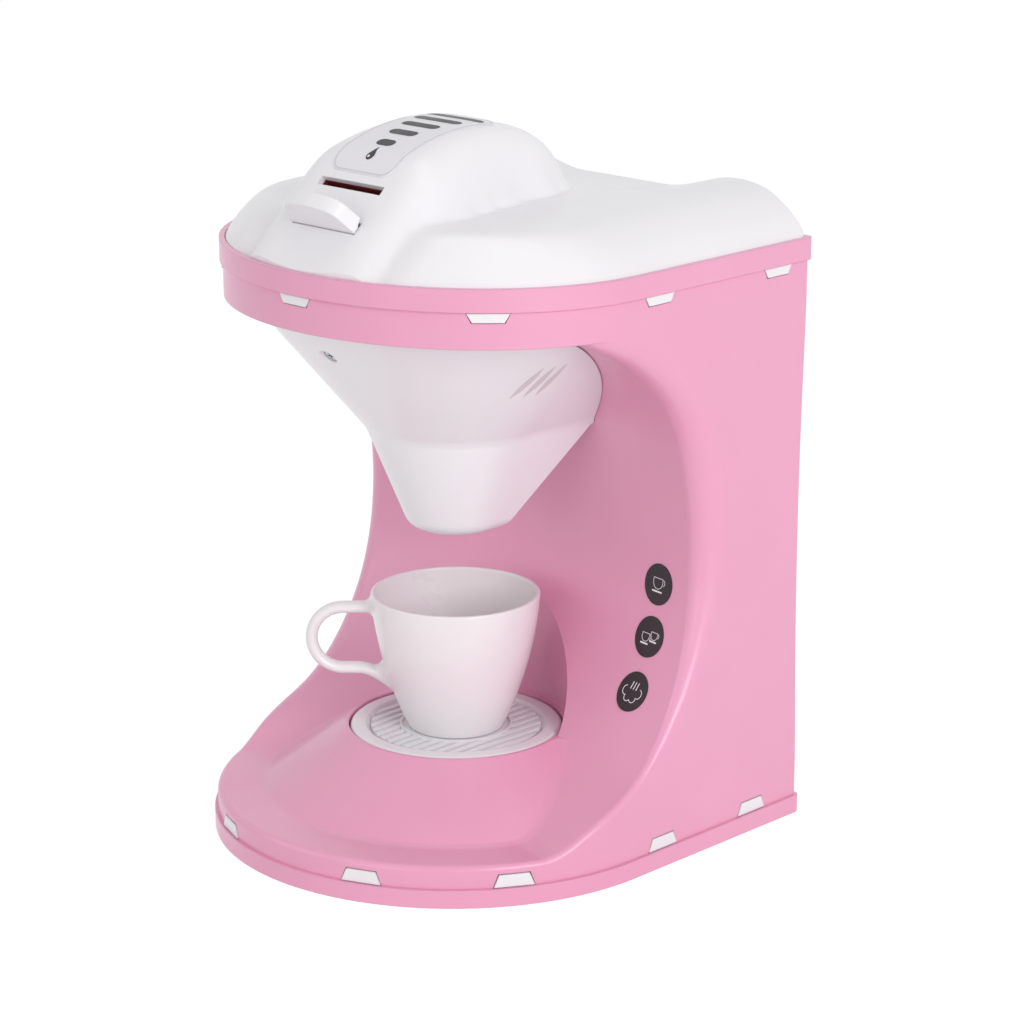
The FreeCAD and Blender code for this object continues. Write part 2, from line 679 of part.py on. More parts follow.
def paddle_relief(low):
    """Wedge that the underside of the paddle loses behind the neck, so that it can tip back."""
    near, far = mm("neck_thick") / 2.0, mm("paddle_thick") + 1.0
    rise = (far - near) * math.tan(math.radians(1.3 * mm("lever_press"))) + mm("seat_gap")
    corners = [Vector(-FAR / 2.0, near, low - 1.0), Vector(-FAR / 2.0, near, low + mm("seat_gap")),
               Vector(-FAR / 2.0, far, low + rise), Vector(-FAR / 2.0, far, low - 1.0)]
    return Part.Face(Part.makePolygon(corners + corners[:1])).extrude(Vector(FAR, 0, 0))


def make_lever():
    half, high, thick = mm("paddle_half"), mm("paddle_height"), mm("paddle_thick")
    low = mm("seat_gap") + 0.3
    knee = 0.58 * high
    shoulder = half - 0.32 * (half - mm("paddle_top_half"))
    right_side = [Vector(half, 0, low), Vector(shoulder, 0, knee)]
    right_bow = Part.BezierCurve()
    right_bow.setPoles([right_side[1], Vector(shoulder - 1.2, 0, 0.9 * high),
                        Vector(mm("paddle_top_half"), 0, high - 0.5), Vector(0, 0, high)])
    left_bow = Part.BezierCurve()
    left_bow.setPoles([Vector(-pole.x, 0, pole.z) for pole in reversed(right_bow.getPoles())])
    edges = [Part.makeLine(*right_side), right_bow.toShape(), left_bow.toShape(),
             Part.makeLine(Vector(-shoulder, 0, knee), Vector(-half, 0, low)),
             Part.makeLine(Vector(-half, 0, low), Vector(half, 0, low))]
    paddle = Part.Face(Part.Wire(edges)).extrude(Vector(0, thick, 0))
    paddle.translate(Vector(0, -mm("neck_thick") / 2.0, 0))
    paddle = paddle.cut(paddle_relief(low))
    paddle = paddle.makeFillet(0.7, [edge for edge in paddle.Edges if edge.BoundBox.ZMax > 0.3 * high
                                     and edge.BoundBox.YLength < 0.1])
    neck_half = half - 0.6
    neck = box(Vector(-neck_half, -mm("neck_thick") / 2, -mm("pivot_depth")),
               Vector(neck_half, mm("neck_thick") / 2, low + 1.0))
    hub = cylinder(mm("hub_radius"), 2 * half, Vector(-half, 0, -mm("pivot_depth")), Vector(1, 0, 0))
    lever = paddle.fuse([neck, hub])
    lever.Placement = root_frame
    arm_half = mm("arm_wide") / 2.0
    arm = box(Vector(-arm_half, pivot.y, pivot.z - mm("arm_thick") / 2.0),
              Vector(arm_half, axis_y + 3.0, pivot.z + mm("arm_thick") / 2.0))
    lever = lever.fuse(arm)
    bore = cylinder(mm("pin_radius") + mm("running_gap"), FAR, Vector(-FAR / 2, pivot.y, pivot.z),
                    Vector(1, 0, 0))
    return lever.cut(bore).removeSplitter()


# Hopper

def hopper_form(inset):
    """Two cones with straight sides behind them, ending at the scooped face and the slope below."""
    top, kink, low = mm("ceiling") + inset, mm("hopper_kink"), mm("hopper_bottom") + inset
    spread = (mm("hopper_top_radius") - mm("hopper_kink_radius")) / (mm("ceiling") - kink)
    radii = {kink: mm("hopper_kink_radius") - inset}
    radii[top] = radii[kink] + spread * (top - kink)
    slope = (mm("hopper_kink_radius") - mm("hopper_low_radius")) / (kink - mm("hopper_bottom"))
    radii[low] = radii[kink] - slope * (kink - low)
    bodies = []
    for start, end in ((low, kink), (kink, top)):
        bodies.append(Part.makeCone(radii[start], radii[end], end - start, Vector(0, axis_y, start)))
        section = [Vector(-radii[start], axis_y, start), Vector(radii[start], axis_y, start),
                   Vector(radii[end], axis_y, end), Vector(-radii[end], axis_y, end)]
        face = Part.Face(Part.makePolygon(section + section[:1]))
        bodies.append(face.extrude(Vector(0, FAR / 6.0, 0)))
    form = bodies[0].fuse(bodies[1:]).removeSplitter()
    gap = mm("seat_gap") + inset
    face_y = axis_y + mm("scoop_depth") - gap
    tilt = math.tan(math.radians(90.0 - mm("hopper_back_slope")))
    edge_y = face_y - 8.5
    under = [Vector(-FAR, edge_y + FAR, kink), Vector(-FAR, edge_y, kink - 2.0),
             Vector(-FAR, edge_y - (kink - 2.0) / tilt, 0.0), Vector(-FAR, edge_y + FAR, 0.0)]
    wedge = Part.Face(Part.makePolygon(under + under[:1])).extrude(Vector(2 * FAR, 0, 0))
    wedge.translate(Vector(0, 0, inset / math.cos(math.radians(mm("hopper_back_slope")))))
    form = form.cut(wedge)
    return form if inset else form.common(scoop(-gap))


def make_hopper():
    outer = hopper_form(0.0)
    foot = [edge for edge in outer.Edges if edge.BoundBox.ZMax < mm("hopper_bottom") + 0.1]
    outer = outer.makeFillet(mm("hopper_floor_round"), foot)
    turn = [edge for edge in outer.Edges if edge.BoundBox.ZLength < 0.1
            and abs(edge.BoundBox.ZMax - mm("hopper_kink")) < 0.1]
    outer = outer.makeFillet(mm("hopper_kink_round"), turn)
    shell = outer.cut(hopper_form(mm("hopper_wall")))
    point, inward = screw_axis()
    boss = cylinder(mm("screw_dimple"), 2.0 * mm("hopper_wall"), point, inward)
    shell = shell.fuse(boss.common(outer))
    dimple = Part.makeCone(mm("screw_dimple"), mm("screw_head_radius") + 0.6, 1.2,
                           point - inward * 0.4, inward)
    dimple = dimple.fuse(cylinder(mm("screw_head_radius") + mm("seat_gap"), screw_seat, point, inward))
    hole = cylinder(mm("screw_radius") + mm("running_gap"), 6 * mm("hopper_wall"),
                    point - inward, inward)
    port = cylinder(mm("nozzle_radius") + mm("running_gap"), FAR / 20.0,
                    Vector(0, axis_y, mm("hopper_bottom") - 5.0))
    return shell.cut([dimple, hole, port])


# Cup

def cup_side(inset, low):
    """Half section of the cup up to its rim, drawn in by inset, from its floor up."""
    foot = Vector(mm("cup_foot_radius") - inset, 0, low)
    rim = Vector(mm("cup_rim_radius") - inset, 0, mm("cup_height"))
    middle = (foot + rim) * 0.5 + Vector(mm("cup_bulge"), 0, -mm("cup_bulge") / 2.0)
    side = Part.Arc(foot, middle, rim).toShape()
    edges = [Part.makeLine(Vector(0, 0, low), foot), side, Part.makeLine(rim, Vector(0, 0, rim.z)),
             Part.makeLine(Vector(0, 0, rim.z), Vector(0, 0, low))]
    return Part.Face(Part.Wire(edges)).revolve(Vector(), Vector(0, 0, 1), 360.0)


def make_cup():
    body = cup_side(0.0, 0.0)
    room = cup_side(mm("cup_wall"), mm("cup_wall") + 1.2)
    bend = (mm("handle_top") - mm("handle_low")) / 2.0
    bend_out = mm("handle_reach") - mm("handle_thick") / 2.0 - bend
    top, low = mm("handle_top"), mm("handle_low")
    inside = mm("cup_rim_radius") - 6.0
    root = Vector(mm("cup_foot_radius") + 3.0, 0, low - 9.0)
    foot_bow = Part.BezierCurve()
    foot_bow.setPoles([Vector(bend_out - 6.0, 0, low), Vector(root.x + 10.0, 0, low), root])
    path = Part.Wire([
        Part.makeLine(Vector(inside, 0, top), Vector(bend_out, 0, top)),
        Part.Arc(Vector(bend_out, 0, top), Vector(bend_out + bend, 0, (top + low) / 2.0),
                 Vector(bend_out, 0, low)).toShape(),
        Part.makeLine(Vector(bend_out, 0, low), Vector(bend_out - 6.0, 0, low)),
        foot_bow.toShape(),
    ])
    oval = Part.Ellipse(Vector(inside, mm("handle_wide") / 2, top),
                        Vector(inside, 0, top + mm("handle_thick") / 2), Vector(inside, 0, top))
    strap = path.makePipeShell([Part.Wire(oval.toShape())], True, False)
    cup = body.fuse(strap)
    joint = [edge for edge in cup.Edges if edge.BoundBox.XMin > mm("cup_foot_radius")
             and edge.BoundBox.XMax < mm("cup_rim_radius") and 0.1 < edge.BoundBox.YLength]
    cup = cup.makeFillet(mm("handle_blend"), joint).cut(room)
    inner_edge = [edge for edge in cup.Edges if edge.BoundBox.ZLength < 0.01
                  and abs(edge.BoundBox.ZMax - mm("cup_height")) < 0.01]
    return cup.makeFillet(mm("cup_wall") * 0.4, inner_edge)


def make_spring():
    """Return spring round the rod, between the guide in the throat and the collar on the rod."""
    low = guide_top + mm("spring_wire") / 2 + 0.1
    high = rod_collar - mm("spring_wire") / 2 - 0.1
    path = Part.makeHelix((high - low) / mm("spring_turns"), high - low, mm("spring_radius"))
    wire = Part.Circle(Vector(mm("spring_radius"), 0, 0), Vector(0, 1, 0), mm("spring_wire") / 2)
    return Part.Wire(path).makePipeShell([Part.Wire(wire.toShape())], True, True)


def make_funnel():
    """Basin that catches what falls from the chute, with its throat, funnel and spout."""
    wall = mm("funnel_wall")
    basin, throat, spout = mm("basin_radius"), mm("throat_radius"), mm("spout_radius")
    floor, top = basin_floor, basin_floor + mm("basin_height")
    throat_low = floor - mm("throat_drop")
    spout_top = funnel_seat + wall
    profile = [(basin, top), (basin, floor), (throat, floor), (throat, throat_low), (spout, spout_top),
               (spout, funnel_seat - mm("spout_length")),
               (mm("nozzle_radius") + mm("seat_gap"), funnel_seat - mm("spout_length")),
               (mm("nozzle_radius") + mm("seat_gap"), funnel_seat),
               (mm("rod_radius") + 1.0, funnel_seat), (mm("rod_radius") + 1.0, spout_top),
               (spout - wall, spout_top), (throat - wall, throat_low + wall),
               (throat - wall, floor + wall), (basin - wall, floor + wall), (basin - wall, top)]
    points = [Vector(radius, 0, level) for radius, level in profile]
    shell = Part.Face(Part.makePolygon(points + points[:1])).revolve(Vector(), Vector(0, 0, 1), 360.0)
    hub = cylinder(mm("rod_radius") + 2.0, guide_top - floor, Vector(0, 0, floor))
    spokes = []
    for number in range(3):
        spoke = box(Vector(0, -wall / 2.0, floor), Vector(throat - wall / 2.0, wall / 2.0, floor + wall))
        spoke.rotate(Vector(), Vector(0, 0, 1), 90.0 + 120.0 * number)
        spokes.append(spoke)
    guide_bore = cylinder(mm("rod_radius") + mm("running_gap"), FAR / 20.0, Vector(0, 0, floor - 1.0))
    return shell.fuse([hub] + spokes).cut(guide_bore).removeSplitter()


def make_screw():
    """Pan-head screw with a cross recess, drawn along +Z."""
    head, shank = mm("screw_head_radius"), mm("screw_radius")
    head_high = 1.2
    body = cylinder(head, head_high, Vector(0, 0, -head_high)).fuse(
        cylinder(shank, mm("screw_length"), Vector())).removeSplitter()
    for turn in (0.0, 90.0):
        slot = box(Vector(-1.5, -0.3, -head_high - 1.0), Vector(1.5, 0.3, -head_high / 2.0))
        slot.rotate(Vector(), Vector(0, 0, 1), turn)
        body = body.cut(slot)
    return body


def on_lid(shape, lift, thick):
    """Cuts a slab that follows the lid out of an upright block."""
    slab = lid_surface(-lift - thick).extrude(Vector(0, 0, -FAR / 8.0))
    slab = slab.cut(lid_surface(-lift).extrude(Vector(0, 0, -FAR / 8.0)))
    return shape.common(slab)


def make_level_label():
    """Thin printed panel on top of the dome, drawn as a rounded block and cut to the lid."""
    half, front, back = mm("label_half"), axis_y - mm("label_front"), axis_y + mm("label_back")
    low = mm("collar_top") + mm("dome_height") / 3.0
    block = box(Vector(-half, front, low), Vector(half, back, FAR))
    upright = [edge for edge in block.Edges if edge.BoundBox.ZLength > 10.0]
    return on_lid(block.makeFillet(mm("label_corner"), upright), mm("label_lift"), mm("label_thick"))


# Sub-parts made from primitives, with their sizes bound to the sheet

def bind(item, **rules):
    """Binds properties to the sheet; a double underscore stands for a point in the property name."""
    for name, rule in rules.items():
        item.setExpression(name.replace("__", "."), rule)
    return item


def primitive(kind, name, **rules):
    return bind(doc.addObject("Part::" + kind, name), **rules)


def combine(kind, name, base, tool):
    item = doc.addObject("Part::" + kind, name)
    item.Base = base
    item.Tool = tool
    return item


def node(item, label):
    """Gives a finished object the name of its sub-part."""
    item.Label = label
    nodes.append(item)
    return item


AXIS = "(sizes.rim_half - sizes.rim_back) / 2"
NOZZLE_LOW = "sizes.hopper_bottom - sizes.nozzle_drop"
TRAY_TOP = "sizes.fan_top - 0.1"


def disc(name, radius, height, level):
    return primitive("Cylinder", name, Radius=radius, Height=height, Placement__Base__z=level,
                     Placement__Base__y=AXIS)


def make_nozzle():
    tube = disc("nozzle_tube", "sizes.nozzle_radius", "sizes.nozzle_length", NOZZLE_LOW)
    flange = disc("nozzle_ring", "sizes.nozzle_flange", "sizes.flange_thick",
                  "sizes.hopper_bottom + sizes.hopper_wall")
    body = combine("Fuse", "nozzle_body", tube, flange)
    bore = disc("nozzle_channel", "sizes.nozzle_bore", "sizes.nozzle_length + 2", NOZZLE_LOW + " - 1")
    return node(combine("Cut", "nozzle_shape", body, bore), "outlet_nozzle")


def make_rod():
    length = rod_top - rod_bottom
    shaft = disc("rod_shaft", "sizes.rod_radius", "%.4f" % length, "%.4f" % rod_bottom)
    ring = disc("rod_ring", "sizes.spring_radius + 1.2", "sizes.collar_thick", "%.4f" % rod_collar)
    return node(combine("Fuse", "rod_shape", shaft, ring), "valve_rod")


def make_seal():
    level = "%.4f" % rod_bottom
    ring = disc("seal_ring", "sizes.seal_radius", "sizes.seal_thick", level)
    bore = disc("seal_bore", "sizes.rod_radius", "sizes.seal_thick + 2", level + " - 1")
    return node(combine("Cut", "seal_shape", ring, bore), "valve_seal")


def make_tray():
    """Dish with a rounded rim, ribs from front to back and a round seat for the cup."""
    low = "%s - sizes.tray_height" % TRAY_TOP
    dish = disc("tray_dish", "sizes.tray_radius", "sizes.tray_height", low)
    rim = doc.addObject("Part::Fillet", "tray_rim_round")
    rim.Base = dish
    doc.recompute()
    rim.Edges = [(number, 1.6, 1.6) for number, edge in enumerate(dish.Shape.Edges, start=1)
                 if edge.BoundBox.ZMin > dish.Shape.BoundBox.ZMax - 0.1]
    hollow = primitive("Cone", "tray_hollow", Radius1="sizes.tray_radius - sizes.tray_rim - 1",
                       Radius2="sizes.tray_radius - sizes.tray_rim + 2",
                       Height="sizes.tray_height - sizes.tray_floor + 0.01",
                       Placement__Base__z=low + " + sizes.tray_floor", Placement__Base__y=AXIS)
    shell = combine("Cut", "tray_shell", rim, hollow)
    bars = []
    count = int((mm("tray_radius") - mm("tray_rim")) / mm("rib_pitch"))
    for number in range(-count, count + 1):
        bar = primitive("Box", "rib_%d" % (number + count), Length="sizes.rib_wide",
                        Width="2 * sizes.tray_radius - 2 * sizes.tray_rim",
                        Height="sizes.tray_height - sizes.tray_floor - sizes.rib_low")
        bind(bar, Placement__Base__x="%g * sizes.rib_pitch - sizes.rib_wide / 2" % number,
             Placement__Base__y=AXIS + " - sizes.tray_radius + sizes.tray_rim",
             Placement__Base__z=low + " + sizes.tray_floor")
        bars.append(bar)
    ribs = doc.addObject("Part::MultiFuse", "tray_bars")
    ribs.Shapes = bars
    bound_disc = disc("ribs_reach", "sizes.tray_radius - sizes.tray_rim", "sizes.tray_height", low)
    clipped = combine("Common", "tray_ribs", ribs, bound_disc)
    seat = disc("cup_seat", "sizes.cup_foot_radius + 3.5", "sizes.tray_height - 0.4", low + " + 0.2")
    seat_cut = disc("cup_seat_hollow", "sizes.cup_foot_radius + 2.4", "sizes.cup_seat_depth + 1",
                    TRAY_TOP + " - sizes.cup_seat_depth")
    ribbed = combine("Fuse", "tray_ribbed", shell, clipped)
    seated = combine("Fuse", "tray_seated", ribbed, seat)
    return node(combine("Cut", "tray_shape", seated, seat_cut), "drip_tray")


def make_pads():
    """Four rubber feet, separate solids in one node."""
    pads = []
    reach = {1: "sizes.rim_back - sizes.pad_back", -1: "sizes.pad_front - sizes.rim_half"}
    for side in (1, -1):
        for end in (1, -1):
            pad = primitive("Cylinder", "pad_%d_%d" % (side + 1, end + 1), Radius="sizes.pad_radius",
                            Height="sizes.rim_height - sizes.ledge_thick - sizes.plate_thick",
                            Placement__Base__x="%d * (sizes.rim_half - sizes.pad_side)" % side,
                            Placement__Base__y="%s + %s" % (AXIS, reach[end]))
            pads.append(pad)
    group = doc.addObject("Part::Compound", "pad_group")
    group.Links = pads
    return node(group, "foot_pads")


def make_pin():
    pin = primitive("Cylinder", "pin", Radius="sizes.pin_radius",
                    Height="2 * (sizes.paddle_half + sizes.seat_gap + sizes.ear_thick)")
    half = mm("paddle_half") + mm("seat_gap") + mm("ear_thick")
    pin.Placement = Placement(Vector(-half, pivot.y, pivot.z), Rotation(Vector(0, 1, 0), 90))
    return node(pin, "lever_pin")


# Every sub-part

brewing_axis = Placement(Vector(0, axis_y, 0), Rotation())
housing = feature("main_housing", make_housing())
feature("top_collar", make_collar())
feature("base_rim", make_base_rim())
feature("bottom_plate", make_bottom_plate())
feature("top_lid", make_lid())
feature("feed_chute", make_chute())
feature("lever", make_lever())
feature("hopper", make_hopper())
feature("tank_funnel", make_funnel(), brewing_axis)
feature("cup", make_cup(),
        Placement(Vector(0, axis_y, cup_foot), Rotation(Vector(0, 0, 1), mm("handle_turn"))))
feature("return_spring", make_spring(),
        Placement(Vector(0, axis_y, guide_top + mm("spring_wire") / 2 + 0.1), Rotation()))
screw_point, screw_way = screw_axis()
feature("hopper_screw", make_screw(),
        Placement(screw_point + screw_way * screw_seat, Rotation(Vector(0, 0, 1), screw_way)))
feature("level_label", make_level_label())
make_nozzle()
make_rod()
make_seal()
make_tray()
make_pads()
make_pin()


def face_spot(level):
    """Where the scooped face lies beside the icons at a height, and its outward direction."""
    start = Vector(icon_x, axis_y - 70.0, level)
    ray = Part.makeLine(start, start + Vector(0, 200.0, 0))
    points = [vertex.Point for vertex in ray.common(housing.Shape).Vertexes]
    return min(points, key=lambda point: point.y)


def make_icon_label(level):
    """Round printed disc on the scooped face, cut to follow it."""
    spot = face_spot(level)
    lower, upper = face_spot(level - 3.0), face_spot(level + 3.0)
    inner = Vector(icon_x - 3.0, axis_y - 70.0, level)
    ray = Part.makeLine(inner, inner + Vector(0, 200.0, 0)).common(housing.Shape)
    beside = min((vertex.Point for vertex in ray.Vertexes), key=lambda point: point.y)
    normal = (upper - lower).cross(spot - beside).normalize()
    if normal.y > 0:
        normal = normal * -1.0
    plug = cylinder(mm("icon_radius"), 12.0, spot + normal * -6.0, normal)
    grown = housing.Shape.copy()
    grown.translate(normal * mm("label_thick"))
    return plug.common(grown).cut(housing.Shape)


for number, icon in enumerate(("label_one_cup", "label_two_cups", "label_steam")):
    feature(icon, make_icon_label(mm("icon_top") - number * mm("icon_pitch")))

doc.recompute()
for item in doc.Objects:
    if "Invalid" in item.State or "Error" in item.State:
        raise RuntimeError("failed: " + item.Label)
for item in nodes:
    if item.Shape.isNull() or not item.Shape.isValid():
        raise RuntimeError("bad shape: " + item.Label)
print("pivot of the lever", pivot, "slopes", root_frame.Rotation.Angle, slot_frame.Rotation.Angle)
for item in nodes:
    item.Shape.exportStep("parts/%s.step" % item.Label)
    print(item.Label, len(item.Shape.Solids), round(item.Shape.Volume))
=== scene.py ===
# %% [markdown]
# The toy coffee maker
#
# The toy is a pink moulded housing with a white lid, a white hopper, a white drip tray and a cup.
# Its solids already stand in the frame at their real size. This script gives each of them its
# finish, adds what is printed or moulded on their surfaces, and lights the toy on a plain floor.
# Working around a fixed frame keeps every size right, so nothing here is fitted by eye.

# %% Load the frame
import bpy
import bmesh
import math
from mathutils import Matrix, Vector
from mathutils.bvhtree import BVHTree


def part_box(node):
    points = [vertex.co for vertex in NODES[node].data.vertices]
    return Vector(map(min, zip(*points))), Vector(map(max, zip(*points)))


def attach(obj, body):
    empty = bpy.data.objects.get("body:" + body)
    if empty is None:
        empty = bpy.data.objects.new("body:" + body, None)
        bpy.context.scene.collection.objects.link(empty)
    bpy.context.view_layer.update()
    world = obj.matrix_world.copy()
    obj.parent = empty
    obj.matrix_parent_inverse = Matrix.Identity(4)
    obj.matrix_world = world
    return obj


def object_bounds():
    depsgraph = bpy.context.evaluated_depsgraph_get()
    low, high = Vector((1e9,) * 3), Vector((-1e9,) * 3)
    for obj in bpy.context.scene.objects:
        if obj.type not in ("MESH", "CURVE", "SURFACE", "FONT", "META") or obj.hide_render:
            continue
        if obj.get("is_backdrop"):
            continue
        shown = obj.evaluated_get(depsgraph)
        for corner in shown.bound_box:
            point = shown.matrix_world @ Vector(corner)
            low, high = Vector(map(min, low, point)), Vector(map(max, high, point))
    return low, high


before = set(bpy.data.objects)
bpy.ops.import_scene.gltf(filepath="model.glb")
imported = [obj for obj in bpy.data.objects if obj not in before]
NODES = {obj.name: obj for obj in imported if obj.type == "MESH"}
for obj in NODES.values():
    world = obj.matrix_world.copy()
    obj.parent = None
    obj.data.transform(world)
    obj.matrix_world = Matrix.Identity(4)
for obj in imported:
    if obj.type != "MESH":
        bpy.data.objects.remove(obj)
cad_low, cad_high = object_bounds()
MM = 0.001
print("nodes:", len(NODES), "box in mm:", [round(1000 * v, 1) for v in (*cad_low, *cad_high)])

# %% [markdown]
# The camera
#
# The photograph looks down a little on the front right corner. A long lens keeps the upright edges
# nearly parallel. The camera could be parented to a target with a constraint, but a place and a
# direction written out once are easier to read and can't drift.

# %% Place the camera
CAMERA_PLACE = Vector((0.8638, -0.8636, 0.4814))
CAMERA_TARGET = Vector((0.0, 0.030, 0.117))
LENS_MM = 116.9

camera_data = bpy.data.cameras.new("camera")
camera_data.lens = LENS_MM
camera_data.sensor_width = 36.0
camera = bpy.data.objects.new("camera", camera_data)
bpy.context.scene.collection.objects.link(camera)
camera.location = CAMERA_PLACE
camera.rotation_euler = (CAMERA_TARGET - CAMERA_PLACE).to_track_quat("-Z", "Y").to_euler()
bpy.context.scene.camera = camera
print("camera distance in m:", round((CAMERA_TARGET - CAMERA_PLACE).length, 3))

# %% [markdown]
# A short way to write shader trees
#
# Every finish is a node tree. Written out by hand, each node takes three or four lines that say
# little. The helper below adds one node, sets its sockets and links its inputs, so that a finish
# reads as a list of what it is made of.

# %% A helper for shader nodes
def shader_tree(name):
    """A new material, its empty node tree and its output node."""
    made = bpy.data.materials.new(name)
    made.use_nodes = True
    tree = made.node_tree
    tree.nodes.clear()
    return made, tree, tree.nodes.new("ShaderNodeOutputMaterial")


def add(tree, kind, links=None, **settings):
    """Adds a node. Settings are properties; links maps a socket's name to a value or an output."""
    node = tree.nodes.new("ShaderNode" + kind)
    for name, value in settings.items():
        setattr(node, name, value)
    for name, value in (links or {}).items():
        socket = node.inputs[name]
        if isinstance(value, bpy.types.NodeSocket):
            tree.links.new(value, socket)
        else:
            socket.default_value = value
    return node


def ramp(tree, source, low, high, low_value, high_value):
    """Maps a grey value from low..high to low_value..high_value."""
    node = add(tree, "MapRange", {"Value": source, "From Min": low, "From Max": high,
                                  "To Min": low_value, "To Max": high_value})
    return node.outputs["Result"]


# %% [markdown]
# Moulded plastic
#
# The toy is injection moulded. Such a surface is never quite even: the melt leaves faint flow
# shades, the polished tool leaves a very fine orange peel, and handling leaves small patches that
# shine less. A plain colour would look like a drawing, so three noises drive colour, roughness and
# bump. The edges are broken by a small radius, which a Bevel node draws without more faces.

# %% Make the plastic finish
PEEL_PER_M = 900.0
PEEL_DEPTH = 0.2 * MM
PEEL_STRENGTH = 0.02
FLOW_PER_M = 16.0
WEAR_PER_M = 60.0
LESS_ROUGH = 0.03
MORE_ROUGH = 0.05
EDGE_RADIUS = 0.5 * MM
PLASTIC_IOR = 1.5
COAT = 0.25
COAT_ROUGHNESS = 0.12


def plastic(name, colour, shade, roughness):
    """Semi-gloss moulded plastic. Shade is the colour in the flow marks."""
    made, tree, output = shader_tree(name)
    place = add(tree, "TexCoord").outputs["Object"]
    flow = add(tree, "TexNoise", {"Vector": place, "Scale": FLOW_PER_M, "Detail": 2.0})
    colours = add(tree, "Mix", data_type="RGBA")
    tree.links.new(ramp(tree, flow.outputs["Fac"], 0.35, 0.65, 0.0, 1.0), colours.inputs["Factor"])
    colours.inputs["A"].default_value = (*colour, 1.0)
    colours.inputs["B"].default_value = (*shade, 1.0)
    wear = add(tree, "TexNoise", {"Vector": place, "Scale": WEAR_PER_M, "Detail": 4.0})
    rough = ramp(tree, wear.outputs["Fac"], 0.3, 0.7, roughness - LESS_ROUGH, roughness + MORE_ROUGH)
    fine = add(tree, "TexNoise", {"Vector": place, "Scale": PEEL_PER_M, "Detail": 1.0})
    rounding = add(tree, "Bevel", {"Radius": EDGE_RADIUS}, samples=4)
    bump = add(tree, "Bump", {"Strength": PEEL_STRENGTH, "Distance": PEEL_DEPTH,
                              "Height": fine.outputs["Fac"], "Normal": rounding.outputs["Normal"]})
    surface = add(tree, "BsdfPrincipled", {
        "Base Color": colours.outputs["Result"], "Roughness": rough, "Normal": bump.outputs["Normal"],
        "IOR": PLASTIC_IOR, "Coat Weight": COAT, "Coat Roughness": COAT_ROUGHNESS})
    tree.links.new(surface.outputs["BSDF"], output.inputs["Surface"])
    return made


PINK = (0.835, 0.372, 0.545)
PINK_SHADE = (0.815, 0.352, 0.525)
WHITE = (0.86, 0.845, 0.87)
WHITE_SHADE = (0.84, 0.825, 0.852)
WARM_WHITE = (0.87, 0.835, 0.85)
WARM_SHADE = (0.85, 0.812, 0.83)
# The two dark reds below are painted shade: the inside of the slot is pink plastic that looks dark red
# only in the slot's shade.
PAINTED_SLOT_SHADE = (0.20, 0.018, 0.022)
PAINTED_SLOT_SHADE_FLOW = (0.15, 0.012, 0.016)

pink_plastic = plastic("pink_plastic", PINK, PINK_SHADE, 0.34)
white_plastic = plastic("white_plastic", WHITE, WHITE_SHADE, 0.33)
cup_plastic = plastic("cup_plastic", WARM_WHITE, WARM_SHADE, 0.3)
# The feed chute's finish is painted shade, a dark red that stands for the shaded pink inside of the
# slot.
chute_painted_shade = plastic("chute_painted_shade", PAINTED_SLOT_SHADE, PAINTED_SLOT_SHADE_FLOW, 0.5)
print("plastics made")

# %% [markdown]
# Metal, rubber and printed film
#
# The screw, the pin and the spring are plated steel wire and rod with fine drawing lines. The feet
# and the seal are soft rubber with a dull, slightly dusty skin. The labels are printed film: a
# flat smooth ink layer with a little unevenness in its gloss.

# %% Make the small finishes
def steel(name):
    """Plated steel with fine lines along Z."""
    made, tree, output = shader_tree(name)
    place = add(tree, "TexCoord").outputs["Object"]
    stretch = add(tree, "Mapping", {"Vector": place, "Scale": (400.0, 400.0, 4000.0)})
    lines = add(tree, "TexNoise", {"Vector": stretch.outputs["Vector"], "Scale": 1.0, "Detail": 3.0})
    colour = add(tree, "ValToRGB", {"Fac": lines.outputs["Fac"]})
    colour.color_ramp.elements[0].color = (0.42, 0.42, 0.44, 1.0)
    colour.color_ramp.elements[1].color = (0.66, 0.66, 0.68, 1.0)
    rough = ramp(tree, lines.outputs["Fac"], 0.2, 0.8, 0.24, 0.42)
    bump = add(tree, "Bump", {"Strength": 0.1, "Distance": 0.05 * MM, "Height": lines.outputs["Fac"]})
    surface = add(tree, "BsdfPrincipled", {
        "Base Color": colour.outputs["Color"], "Roughness": rough, "Normal": bump.outputs["Normal"]})
    surface.inputs["Metallic"].default_value = 1.0
    tree.links.new(surface.outputs["BSDF"], output.inputs["Surface"])
    return made


def rubber(name):
    """Dull soft rubber with a trace of dust."""
    made, tree, output = shader_tree(name)
    place = add(tree, "TexCoord").outputs["Object"]
    dust = add(tree, "TexNoise", {"Vector": place, "Scale": 120.0, "Detail": 5.0})
    grain = add(tree, "TexNoise", {"Vector": place, "Scale": 2200.0, "Detail": 2.0})
    colour = add(tree, "ValToRGB", {"Fac": dust.outputs["Fac"]})
    colour.color_ramp.elements[0].color = (0.035, 0.035, 0.038, 1.0)
    colour.color_ramp.elements[1].color = (0.075, 0.074, 0.077, 1.0)
    rough = ramp(tree, dust.outputs["Fac"], 0.3, 0.7, 0.62, 0.82)
    bump = add(tree, "Bump", {"Strength": 0.3, "Distance": 0.1 * MM, "Height": grain.outputs["Fac"]})
    surface = add(tree, "BsdfPrincipled", {
        "Base Color": colour.outputs["Color"], "Roughness": rough, "Normal": bump.outputs["Normal"]})
    tree.links.new(surface.outputs["BSDF"], output.inputs["Surface"])
    return made


